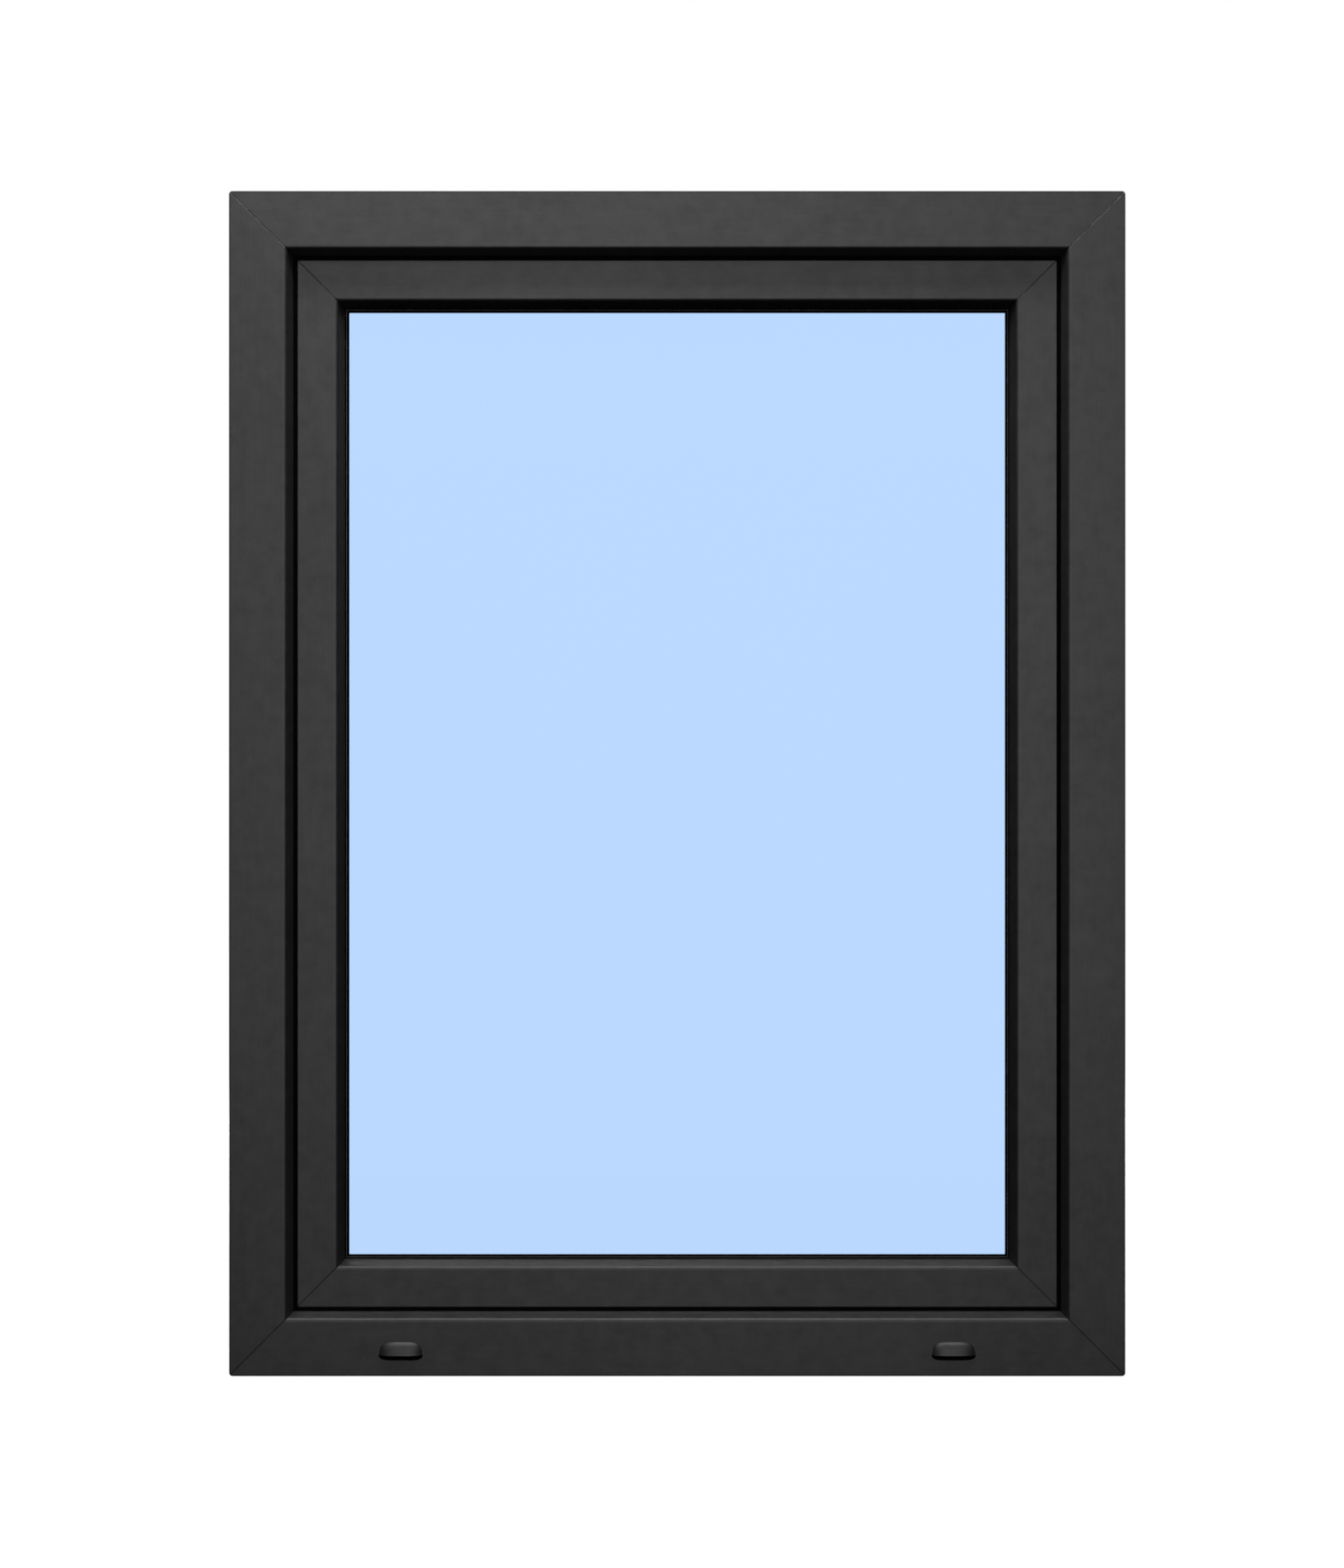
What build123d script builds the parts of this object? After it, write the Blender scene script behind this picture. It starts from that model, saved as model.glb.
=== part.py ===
"""Inward-opening tilt-and-turn casement window in welded PVC-U profiles with a sealed glass unit.

Millimetres, +Z up. The outdoor side faces -Y and the room is on +Y. The origin is on the underside
of the sill, in the middle of the window's width and of the frame's depth. Every section is drawn in
(u, y), where u runs inward from the window's outer edge, so that frame, sash, beads and gaskets on
all four sides share one ruler. The hinges are on -X and the handle is on +X.
"""
from build123d import *
import os
from math import acos, cos, pi, radians, sin, tan

# ---- driving dimensions ------------------------------------------------------------------------
WIDTH = 900.0
HEIGHT = 1190.0

# frame profile
FRAME_DEPTH = 70.0
FRAME_FACE = 63.0  # outer edge to the lip's inner edge
FRAME_SLOPE = 5.6  # sloped inner edge of the face
FRAME_SLOPE_DEPTH = 14.0
LIP_DEPTH = 17.0
FLOOR = 44.0  # outer edge to the rebate floor that faces the sash
CHANNEL_DROP = 4.0  # drainage channel below the rebate floor
CHANNEL_BACK = 5.0  # the channel's ramp ends at this y
CORNER_ROUND = 2.5

# sash profile
SASH_DEPTH = FRAME_DEPTH
SASH_FACE = 57.0
SASH_SLOPE = 6.0
SASH_SLOPE_DEPTH = 14.0
SASH_LIP_DEPTH = 18.0
AIR_GAP = 12.0  # rebate floor to sash edge
OVERLAP = 20.0  # room-side flange over the frame
FLANGE_DEPTH = 17.0
REBATE_HEIGHT = 37.0
GASKET_GAP = 3.0  # the space that each sealing gasket fills

# walls
WALL = 3.0
WEB = 1.6
EDGE_ROUND = 4.0
SMALL_ROUND = 1.2

# gaskets and their grooves
GROOVE_WIDTH = 3.0
GROOVE_DEPTH = 4.0
GASKET_EASE = 0.3  # how far a gasket stays from the moving part that it seals against
GASKET_REACH = 4.2  # how far an outdoor gasket shows past its lip

# glass unit
PANE = 4.0
CAVITY = 16.0
GLASS_GAP = 5.0  # rebate floor to glass edge, filled by the packers
SPACER_WIDTH = 6.5
SEAL_WIDTH = 3.0
PACKER_LENGTH = 100.0
PACKER_EASE = 0.1
BEAD_FACE = 20.0
BEAD_LAND = 4.0

# steel reinforcement
STEEL = 1.5
STEEL_EASE = 0.5
FRAME_STEEL_SHORT = 62.0  # square-cut end to outer edge
SASH_STEEL_SHORT = 118.0

# wall fixings, through both jambs
FIXING_RADIUS = 4.1
FIXING_Y = 10.0
FIXING_INSET = 150.0
FIXING_PITCH = (HEIGHT - 2 * FIXING_INSET) / 3

# hardware groove in the sash edge
GROOVE_SETBACK = 8.0  # glazing beads to the middle of the groove, over the reinforcement
FACEPLATE_WIDTH = 16.0
FACEPLATE = 2.2
FACEPLATE_RECESS = 2.5
ROD_GROOVE_WIDTH = 12.0
ROD_GROOVE_DEPTH = 11.0
SLIDE_EASE = 0.3
CORNER_LEG = 70.0
CORNER_HOUSING = 28.0
FACEPLATE_GAP = 5.0

# rods, cams and strikers
ROD_WIDTH = 8.0
ROD = 1.7
STROKE = 18.0  # rod travel for a quarter turn of the handle
TEETH_PER_QUARTER = 4
CAM_STEM = 3.0
CAM_HEAD = 4.5
CAM_HEAD_HEIGHT = 4.5
CAM_REACH = 8.5  # cam tip beyond the sash edge
SIDE_CAM_INSET = 250.0  # from the bottom and the top of the window
CAM_X = 200.0  # head and sill cams
STRIKER_PLATE = 2.2
STRIKER_LENGTH = 70.0
STRIKER_WIDTH = 17.0
HOOK_HEIGHT = 7.8
HOOK = 3.0
HOOK_START = 7.5  # cam's rest centre to the hook's near end
HOOK_END = 27.0
HOOK_EASE = 0.5
TILT_HOOK_SHIFT = 3.6  # the sill's cam swings this far roomward while the sash tilts
TILT_HOOK = 1.8  # thinner than HOOK, so that the tilting sash gasket clears it

# hinge line: the vertical axis that the sash turns about
AXIS_U = 27.0
AXIS_Y = FRAME_DEPTH / 2 + 15.0
BARREL = 8.0
PIN_FIT = 0.05
STAY_PIN = 3.0
STAY_TOP = 44.0  # from the window's top to the top of the stay bearing
STAY_LUG = 13.5
STAY_KNUCKLE = 14.0
KNUCKLE_GAP = 0.5
STRAP = 2.4
STRAP_EASE = 0.3
PIVOT_PIN = 4.0
BALL = 5.5
BALL_EASE = 0.3
BALL_Z = 34.0
BEARING_TOP = 28.0
BEARING_FLOOR = 8.0
BAND_TOP = 75.0

# stay arm
ARM_LENGTH = 450.0  # hinge line to slider pin
ARM = 3.0
ARM_WIDTH = 16.0
ARM_EASE = 2.0
SLIDER_PIN = 3.0
SLIDER_SLOT = 4.0
SLIDER_RUN = 13.5  # the pin's way towards the hinge as the sash tilts

# handle and gearbox
HANDLE_Z = HEIGHT / 2
SPINDLE = 7.0
RACK_DEPTH = 62.0  # u of the rack's pitch line
ADDENDUM = 1.1
DEDENDUM = 1.5
BACKLASH = 0.3
PRESSURE_ANGLE = radians(20)
PINION_WIDTH = 7.0
HUB = 6.0
CASE_WIDTH = 11.6
CASE_WALL = 1.4
CASE_HEIGHT = 120.0
CASE_EASE = 0.2
HANDLE_SCREW_PITCH = 43.0
ROSETTE = (30.0, 11.0, 66.0)
NECK = 9.0
NECK_LENGTH = 42.0
GRIP_LENGTH = 130.0
GRIP = (21.0, 15.0)
GRIP_ROUND = 5.0
GRIP_END_ROUND = 3.0
NECK_SINK = 3.0  # the neck starts this far inside the rosette
SPINDLE_GRIP = 11.5  # how far the spindle reaches into the grip

# drain caps on the sill's outdoor face
CAP_X = 277.5
CAP_Z = 16.0
CAP_BASE = 45.0
CAP_TOP = 37.0
CAP_HEIGHT = 20.0
CAP_DEPTH = 7.5
CAP_TOP_DEPTH = 4.0
CAP_WALL = 1.5
CAP_MOUTH = 3.9
CAP_ROUND = 2.5
CAP_LIP = 2.0  # either end of the mouth
CAP_CROWN = 6.0  # solid top of the hood
DRAIN_SLOT = (30.0, 5.0)

# screws
SCREW = 2.0
SCREW_HEAD = 3.8
SCREW_HEAD_DEPTH = 2.0
SCREW_EASE = 0.05

# ---- derived places ----------------------------------------------------------------------------
FRAME_FRONT = -FRAME_DEPTH / 2
FRAME_ROOM = FRAME_DEPTH / 2
LIP_BACK = FRAME_FRONT + LIP_DEPTH
CHANNEL = FLOOR - CHANNEL_DROP
SASH_FRONT = LIP_BACK + GASKET_GAP
SASH_ROOM = SASH_FRONT + SASH_DEPTH
SASH_EDGE = FLOOR + AIR_GAP
SASH_INNER = SASH_EDGE + SASH_FACE
FLANGE_EDGE = SASH_EDGE - OVERLAP
FLANGE_BACK = SASH_ROOM - FLANGE_DEPTH
REBATE_FLOOR = SASH_EDGE + REBATE_HEIGHT
REBATE_FRONT = SASH_FRONT + SASH_LIP_DEPTH
GLASS_EDGE = REBATE_FLOOR + GLASS_GAP
OUTER_PANE_Y = REBATE_FRONT + GASKET_GAP
CAVITY_Y = OUTER_PANE_Y + PANE
INNER_PANE_Y = CAVITY_Y + CAVITY
BEAD_FRONT = INNER_PANE_Y + PANE + GASKET_GAP
GROOVE_Y = BEAD_FRONT - GROOVE_SETBACK
ROD_GROOVE_FLOOR = SASH_EDGE + ROD_GROOVE_DEPTH
ROD_U = SASH_EDGE + FACEPLATE_RECESS + SLIDE_EASE
AXIS_X = AXIS_U - WIDTH / 2
PITCH = STROKE / TEETH_PER_QUARTER
PITCH_RADIUS = 4 * STROKE / (2 * pi)
SPINDLE_U = RACK_DEPTH + PITCH_RADIUS
SPINDLE_X = WIDTH / 2 - SPINDLE_U
SASH_TOP = HEIGHT - SASH_EDGE
CAM_HEIGHTS = (SIDE_CAM_INSET, HEIGHT - SIDE_CAM_INSET)
REACH = 130.0  # wider than any section

SIDES = {  # turn about Y, middle of the outer edge, length
    "hinge": (0, (-WIDTH / 2, 0, HEIGHT / 2), HEIGHT),
    "lock": (180, (WIDTH / 2, 0, HEIGHT / 2), HEIGHT),
    "sill": (-90, (0, 0, 0), WIDTH),
    "head": (90, (0, 0, HEIGHT), WIDTH),
}

nodes = {}


# ---- tools -------------------------------------------------------------------------------------
def add(name, *shapes):
    """Files the solids of the shapes under one node name."""
    solids = [solid for shape in shapes for solid in shape.solids()]
    nodes.setdefault(name, []).extend(solids)


def block(x, y, z):
    """A box between two values on each axis."""
    sizes = [abs(b - a) for a, b in (x, y, z)]
    middle = [(a + b) / 2 for a, b in (x, y, z)]
    return Pos(*middle) * Box(*sizes)


def side_block(side, u, y, along):
    """A box on one side of the window: u from the outer edge, along in x or z."""
    if side == "hinge":
        return block([v - WIDTH / 2 for v in u], y, along)
    if side == "lock":
        return block([WIDTH / 2 - v for v in u], y, along)
    if side == "sill":
        return block(along, y, u)
    return block(along, y, [HEIGHT - v for v in u])


def side_point(side, u, y, along):
    """The world point at depth u on one side."""
    return {
        "hinge": (u - WIDTH / 2, y, along),
        "lock": (WIDTH / 2 - u, y, along),
        "sill": (along, y, u),
        "head": (along, y, HEIGHT - u),
    }[side]


def inward(side):
    """The direction of growing u."""
    return {"hinge": (1, 0, 0), "lock": (-1, 0, 0), "sill": (0, 0, 1), "head": (0, 0, -1)}[side]


def outward(side):
    """The direction of falling u."""
    return tuple(-v for v in inward(side))


def rod_between(start, direction, radius, length):
    """A cylinder from a point along a direction."""
    cylinder = Cylinder(radius, length, align=(Align.CENTER, Align.CENTER, Align.MIN))
    return Plane(origin=start, z_dir=direction) * cylinder


def upright(x, y, radius, z):
    """A vertical cylinder between two heights."""
    return rod_between((x, y, z[0]), (0, 0, 1), radius, z[1] - z[0])


def outline(points, rounds=()):
    """A face through the points, with the corners named in rounds as (index, radius) rounded."""
    face = make_face(Polyline(*points, close=True))
    for index, radius in rounds:
        corner = face.vertices().sort_by_distance((*points[index], 0))[0]
        face = fillet(corner, radius)
    return face


def field(u, y):
    """A rectangle in a section."""
    return outline([(u[0], y[0]), (u[1], y[0]), (u[1], y[1]), (u[0], y[1])])


def bar(section, side):
    """The section run along one side and mitred at both ends."""
    turn, middle, length = SIDES[side]
    half = length / 2
    prism = extrude(section, amount=half, both=True)
    shape = [(0, -half), (REACH, REACH - half), (REACH, half - REACH), (0, half)]
    mitre = extrude(Plane.XZ * outline(shape), amount=REACH, both=True)
    return Pos(*middle) * (Rot(0, turn, 0) * (prism & mitre))


def ring(section):
    """The section run round all four sides as one closed piece."""
    whole = bar(section, "hinge")
    for side in ("head", "lock", "sill"):
        whole = whole + bar(section, side)
    return whole


def slab(u, y):
    """A rectangular plate whose edges stand at depth u, between two values of y."""
    return block((u - WIDTH / 2, WIDTH / 2 - u), y, (u, HEIGHT - u))


def slotted_hole(side, along, half_length, half_width, u):
    """A round-ended slot across a faceplate, for cutting."""
    core = side_block(
        side,
        u,
        (GROOVE_Y - half_width, GROOVE_Y + half_width),
        (along - half_length, along + half_length),
    )
    for end in (-half_length, half_length):
        start = side_point(side, u[0], GROOVE_Y, along + end)
        core = core + rod_between(start, inward(side), half_width, u[1] - u[0])
    return core


def screw(start, direction, length):
    """A countersunk screw with a cross recess; start is the middle of its head."""
    at_start = (Align.CENTER, Align.CENTER, Align.MIN)
    head = Cone(SCREW_HEAD, SCREW, SCREW_HEAD_DEPTH, align=at_start)
    shank = Cylinder(SCREW, length, align=at_start)
    recess = Box(3.2, 0.8, 1.2, align=at_start) + Box(0.8, 3.2, 1.2, align=at_start)
    return Plane(origin=start, z_dir=direction) * (head + shank - recess)


def screw_hole(start, direction, length):
    """The space for a screw."""
    at_start = (Align.CENTER, Align.CENTER, Align.MIN)
    head = Cone(
        SCREW_HEAD + SCREW_EASE, SCREW + SCREW_EASE, SCREW_HEAD_DEPTH + SCREW_EASE, align=at_start
    )
    shank = Cylinder(SCREW + SCREW_EASE, length + 1, align=at_start)
    return Plane(origin=start, z_dir=direction) * (head + shank)


def drill(shape, holes):
    """The shape less every hole."""
    for hole in holes:
        shape = shape - hole
    return shape


# ---- sections ----------------------------------------------------------------------------------
def frame_section():
    """Frame profile: lip outdoors, drainage channel, rebate floor, four chambers."""
    groove = FRAME_FACE - GROOVE_WIDTH / 2 - 4.0
    outer = outline(
        [
            (0, FRAME_FRONT),
            (FRAME_FACE - FRAME_SLOPE, FRAME_FRONT),
            (FRAME_FACE, FRAME_FRONT + FRAME_SLOPE_DEPTH),
            (FRAME_FACE, LIP_BACK),
            (CHANNEL, LIP_BACK),
            (CHANNEL, CHANNEL_BACK - CHANNEL_DROP * 1.5),
            (FLOOR, CHANNEL_BACK),
            (FLOOR, FRAME_ROOM),
            (0, FRAME_ROOM),
        ],
        [(1, EDGE_ROUND), (2, SMALL_ROUND), (7, SMALL_ROUND)],
    )
    inner_edge = CHANNEL - WALL
    past_groove = WALL * 2
    split_front = FRAME_FRONT + 13.5
    split_steel = FRAME_FRONT + 26.5
    steel_room = FRAME_ROOM - 15.0
    cuts = [
        field((past_groove, inner_edge), (FRAME_FRONT + WALL, split_front)),
        outline(
            [
                (inner_edge + WEB, FRAME_FRONT + WALL),
                (FRAME_FACE - FRAME_SLOPE - WALL, FRAME_FRONT + WALL),
                (groove - WALL, FRAME_FRONT + WALL + 6),
                (groove - WALL, LIP_BACK - WALL),
                (inner_edge + WEB, LIP_BACK - WALL),
            ]
        ),
        field((past_groove, inner_edge), (split_front + WEB, split_steel - WEB)),
        field((WALL, inner_edge), (split_steel, steel_room)),
        field((past_groove, FLOOR - WALL), (steel_room + WEB, FRAME_ROOM - WALL)),
        field((groove, groove + GROOVE_WIDTH), (LIP_BACK - GROOVE_DEPTH, LIP_BACK)),
    ]
    for y in (FRAME_FRONT + 13.0, FRAME_ROOM - 17.0):
        cuts.append(field((0, WALL), (y, y + GROOVE_DEPTH)))
    return outer - cuts, (split_steel, steel_room, inner_edge, groove)


def sash_section():
    """Sash profile: glazing lip outdoors, hardware groove at the edge, room-side flange."""
    gasket_groove = SASH_INNER - 9.5
    flange_groove = FLANGE_EDGE + 4.0
    bead_groove = BEAD_FRONT + 3.0
    outer = outline(
        [
            (SASH_EDGE, SASH_FRONT),
            (SASH_INNER - SASH_SLOPE, SASH_FRONT),
            (SASH_INNER, SASH_FRONT + SASH_SLOPE_DEPTH),
            (SASH_INNER, REBATE_FRONT),
            (REBATE_FLOOR, REBATE_FRONT),
            (REBATE_FLOOR, SASH_ROOM),
            (FLANGE_EDGE, SASH_ROOM),
            (FLANGE_EDGE, FLANGE_BACK),
            (SASH_EDGE, FLANGE_BACK),
        ],
        [(0, SMALL_ROUND), (1, EDGE_ROUND), (2, SMALL_ROUND), (6, EDGE_ROUND), (7, SMALL_ROUND)],
    )
    half_plate = FACEPLATE_WIDTH / 2 + 0.1
    half_rod = ROD_GROOVE_WIDTH / 2
    steel_u = (ROD_GROOVE_FLOOR + 2.0, REBATE_FLOOR - WALL)
    steel_y = (REBATE_FRONT - 4.0, BEAD_FRONT + 1.0)
    cuts = [
        outline(
            [
                (SASH_EDGE + WALL, SASH_FRONT + WALL),
                (SASH_INNER - SASH_SLOPE - WALL, SASH_FRONT + WALL),
                (SASH_INNER - SASH_SLOPE + 0.7, REBATE_FRONT - 7.5),
                (SASH_INNER - SASH_SLOPE + 0.7, REBATE_FRONT - 6.0),
                (SASH_EDGE + WALL, REBATE_FRONT - 6.0),
            ]
        ),
        field(steel_u, steel_y),
        field((SASH_EDGE + WALL, steel_u[0] - WEB), (steel_y[0], GROOVE_Y - half_plate - WALL)),
        field((SASH_EDGE + WALL, REBATE_FLOOR - 7.0), (steel_y[1] + WEB, SASH_ROOM - 12.6)),
        field((FLANGE_EDGE + WALL, REBATE_FLOOR - WALL), (SASH_ROOM - 11.0, SASH_ROOM - WALL)),
        field(
            (SASH_EDGE, SASH_EDGE + FACEPLATE_RECESS), (GROOVE_Y - half_plate, GROOVE_Y + half_plate)
        ),
        field((SASH_EDGE, ROD_GROOVE_FLOOR), (GROOVE_Y - half_rod, GROOVE_Y + half_rod)),
        field(
            (gasket_groove, gasket_groove + GROOVE_WIDTH), (REBATE_FRONT - GROOVE_DEPTH, REBATE_FRONT)
        ),
        field(
            (flange_groove, flange_groove + GROOVE_WIDTH), (FLANGE_BACK, FLANGE_BACK + GROOVE_DEPTH)
        ),
        field((REBATE_FLOOR - GROOVE_DEPTH, REBATE_FLOOR), (bead_groove, bead_groove + GROOVE_WIDTH)),
    ]
    return outer - cuts, (steel_u, steel_y, gasket_groove, flange_groove, bead_groove)


def square_tube(side, u, y, short):
    """A square-cut steel reinforcement that stops short of the corners."""
    length = SIDES[side][2]
    start = 0 if side in ("hinge", "lock") else -length / 2
    along = (start + short, start + length - short)
    u = (u[0] + STEEL_EASE, u[1] - STEEL_EASE)
    y = (y[0] + STEEL_EASE, y[1] - STEEL_EASE)
    hollow = side_block(side, (u[0] + STEEL, u[1] - STEEL), (y[0] + STEEL, y[1] - STEEL), along)
    return side_block(side, u, y, along) - hollow


# ---- hardware shared by several pieces ---------------------------------------------------------
SASH_LOW = SASH_EDGE + CORNER_LEG + FACEPLATE_GAP
PLATE_SPANS = {  # where each faceplate runs, in z on the lock side and x on the head and sill
    "lock": (SASH_LOW, HEIGHT - SASH_LOW),
    "head": (-WIDTH / 2 + SASH_LOW, WIDTH / 2 - SASH_LOW),
    "sill": (-WIDTH / 6, WIDTH / 2 - SASH_LOW),
}
SCREW_INSET = 10.0
SASH_SCREW = 22.0
CORNER_SCREW = 50.0
BAND_SCREWS = (85.0, 112.0)
STRIKER_SCREW = 12.0
STRIKER_SCREW_INSET = 5.0
STRIKER_SCREW_Y = GROOVE_Y - 2.0
STRIKERS = {  # side, middle, directions of the hooks, roomward shift, hook thickness
    "striker_lower": ("lock", CAM_HEIGHTS[0], (1,), 0.0, HOOK),
    "striker_upper": ("lock", CAM_HEIGHTS[1], (1,), 0.0, HOOK),
    "striker_head": ("head", CAM_X, (-1,), 0.0, HOOK),
    "striker_tilt": ("sill", CAM_X, (-1, 1), TILT_HOOK_SHIFT, TILT_HOOK),
}
BEARING_SCREW = 24.0


def sash_screws():
    """(side, start, direction) of the screws that hold faceplates, corner drives and corner band."""
    places = []
    for side, span in PLATE_SPANS.items():
        for along in (span[0] + SCREW_INSET, span[1] - SCREW_INSET):
            places.append((side, side_point(side, SASH_EDGE, GROOVE_Y, along), inward(side)))
    edge = WIDTH / 2 - SASH_EDGE
    for side, along in (
        ("lock", SASH_TOP - CORNER_SCREW),
        ("head", edge - CORNER_SCREW),
        ("lock", SASH_EDGE + CORNER_SCREW),
        ("sill", edge - CORNER_SCREW),
    ):
        places.append((side, side_point(side, SASH_EDGE, GROOVE_Y, along), inward(side)))
    for z in BAND_SCREWS:
        start = side_point("hinge", SASH_EDGE - STRAP, GROOVE_Y, z)
        places.append(("hinge", start, inward("hinge")))
    return places


def striker_screws():
    """(side, start, direction) of the screws through the striker plates."""
    places = []
    for side, centre, _, _, _ in STRIKERS.values():
        for end in (-1, 1):
            along = centre + end * (STRIKER_LENGTH / 2 - STRIKER_SCREW_INSET)
            start = side_point(side, FLOOR + STRIKER_PLATE, STRIKER_SCREW_Y, along)
            places.append((side, start, outward(side)))
    return places


STAY_Z = HEIGHT - STAY_TOP
STAY_PLATE_X = (AXIS_X - 21.0, AXIS_X - 8.5)
STAY_SPAN = (STAY_Z - 2 * STAY_LUG - STAY_KNUCKLE - 2 * KNUCKLE_GAP, STAY_Z)
BEARING_PLATE_X = (AXIS_X - 18.0, AXIS_X + 13.0)
PLATE = 3.0


def bearing_screws():
    """(side, start, direction) of the screws that hold both bearings on the frame's room face."""
    places = []
    y = FRAME_ROOM + PLATE
    stay_x = sum(STAY_PLATE_X) / 2
    for z in (STAY_SPAN[0] - 9.0, STAY_SPAN[1] + 9.0):
        places.append(("hinge", (stay_x, y, z), (0, -1, 0)))
    for x in (BEARING_PLATE_X[0] + 5.0, BEARING_PLATE_X[1] - 5.0):
        places.append(("sill" if x > AXIS_X else "hinge", (x, y, 18.0), (0, -1, 0)))
    return places


def wall_fixings(side):
    """The holes through one jamb for the wall screws."""
    return [
        rod_between(side_point(side, -1, FIXING_Y, FIXING_INSET + i * FIXING_PITCH), inward(side),
                    FIXING_RADIUS, FLOOR + 2)
        for i in range(4)
    ]


# ---- fixed frame -------------------------------------------------------------------------------
def make_frame():
    """Four welded frame members, their steels, the outdoor gasket and the drain caps."""
    section, (steel_front, steel_room, inner_edge, groove) = frame_section()
    envelope = Pos(0, 0, HEIGHT / 2) * extrude(
        Plane.XZ * RectangleRounded(WIDTH, HEIGHT, CORNER_ROUND), amount=REACH, both=True
    )
    names = {
        "hinge": "frame_jamb_hinge",
        "lock": "frame_jamb_lock",
        "sill": "frame_sill",
        "head": "frame_head",
    }
    for side, name in names.items():
        member = bar(section, side) & envelope
        holes = [screw_hole(p, d, STRIKER_SCREW) for s, p, d in striker_screws() if s == side]
        if side in ("hinge", "sill"):
            holes += [screw_hole(p, d, BEARING_SCREW) for _, p, d in bearing_screws()]
        upright_side = side in ("hinge", "lock")
        if upright_side:
            holes += wall_fixings(side)
        steel = square_tube(side, (WALL, inner_edge), (steel_front, steel_room), FRAME_STEEL_SHORT)
        add("frame_steel_vertical" if upright_side else "frame_steel_horizontal", drill(steel, holes))
        if side == "sill":
            holes += drain_slots()
        add(name, drill(member, holes))

    foot = field(
        (groove + 0.2, groove + GROOVE_WIDTH - 0.2), (LIP_BACK - GROOVE_DEPTH + 0.2, LIP_BACK + 0.5)
    )
    face = SASH_FRONT - GASKET_EASE
    lip = outline(
        [
            (groove - 1.0, LIP_BACK),
            (FRAME_FACE, LIP_BACK),
            (FRAME_FACE + GASKET_REACH, LIP_BACK + 1.2),
            (FRAME_FACE + GASKET_REACH, face),
            (groove + GROOVE_WIDTH + 1.5, face),
        ]
    )
    add("frame_gasket", ring(foot + lip))


def drain_slots():
    """Slots through the sill's outdoor wall behind the caps, and through the channel floor."""
    width, height = DRAIN_SLOT
    cuts = []
    for x in (-CAP_X, CAP_X):
        across = (x - width / 2, x + width / 2)
        low = CAP_Z + 3.0
        cuts.append(block(across, (FRAME_FRONT - 1, FRAME_FRONT + WALL + 1), (low, low + height)))
        away = (across[0] - 60, across[1] - 60) if x > 0 else (across[0] + 60, across[1] + 60)
        cuts.append(block(away, (LIP_BACK + 2, LIP_BACK + 2 + height), (CHANNEL - WALL - 1, CHANNEL + 1)))
    return cuts


def cap_outline(width, depth):
    """A drain cap's plan: flat against the frame, rounded at its two front corners."""
    half = width / 2
    return outline(
        [(-half, -depth), (half, -depth), (half, 0), (-half, 0)], [(0, CAP_ROUND), (1, CAP_ROUND)]
    )


def make_drain_caps():
    """A hooded cap over each drain outlet, open downwards."""
    low = cap_outline(CAP_BASE, CAP_DEPTH)
    high = cap_outline(CAP_TOP, CAP_TOP_DEPTH)
    hood = loft([low, Pos(0, 0, CAP_HEIGHT) * high])
    mouth = CAP_BASE / 2 - CAP_LIP
    duct = DRAIN_SLOT[0] / 2
    hood = hood - block((-mouth, mouth), (-CAP_DEPTH - 1, 1), (-1, CAP_MOUTH))
    hood = hood - block((-duct, duct), (CAP_WALL - CAP_TOP_DEPTH, 1), (-1, CAP_HEIGHT - CAP_CROWN))
    for name, x in (("drain_cap_left", -CAP_X), ("drain_cap_right", CAP_X)):
        add(name, Pos(x, FRAME_FRONT, CAP_Z) * hood)


def make_strikers():
    """Plates on the rebate floor whose hooks hold the cams, and their screws."""
    places = striker_screws()
    half = STRIKER_LENGTH / 2
    top = FLOOR + STRIKER_PLATE
    for name, (side, centre, ways, shift, hook) in STRIKERS.items():
        face = GROOVE_Y + CAM_HEAD + HOOK_EASE + shift
        back = face + hook
        plate_y = (back - STRIKER_WIDTH, back)
        plate = side_block(side, (FLOOR, top), plate_y, (centre - half, centre + half))
        for way in ways:
            along = sorted((centre + way * HOOK_START, centre + way * HOOK_END))
            plate = plate + side_block(side, (top, top + HOOK_HEIGHT), (face, back), along)
        holes = [screw_hole(p, d, STRIKER_SCREW) for s, p, d in places if s == side]
        add(name, drill(plate, holes))
    add("striker_screws", *[screw(p, d, STRIKER_SCREW) for _, p, d in places])


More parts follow.
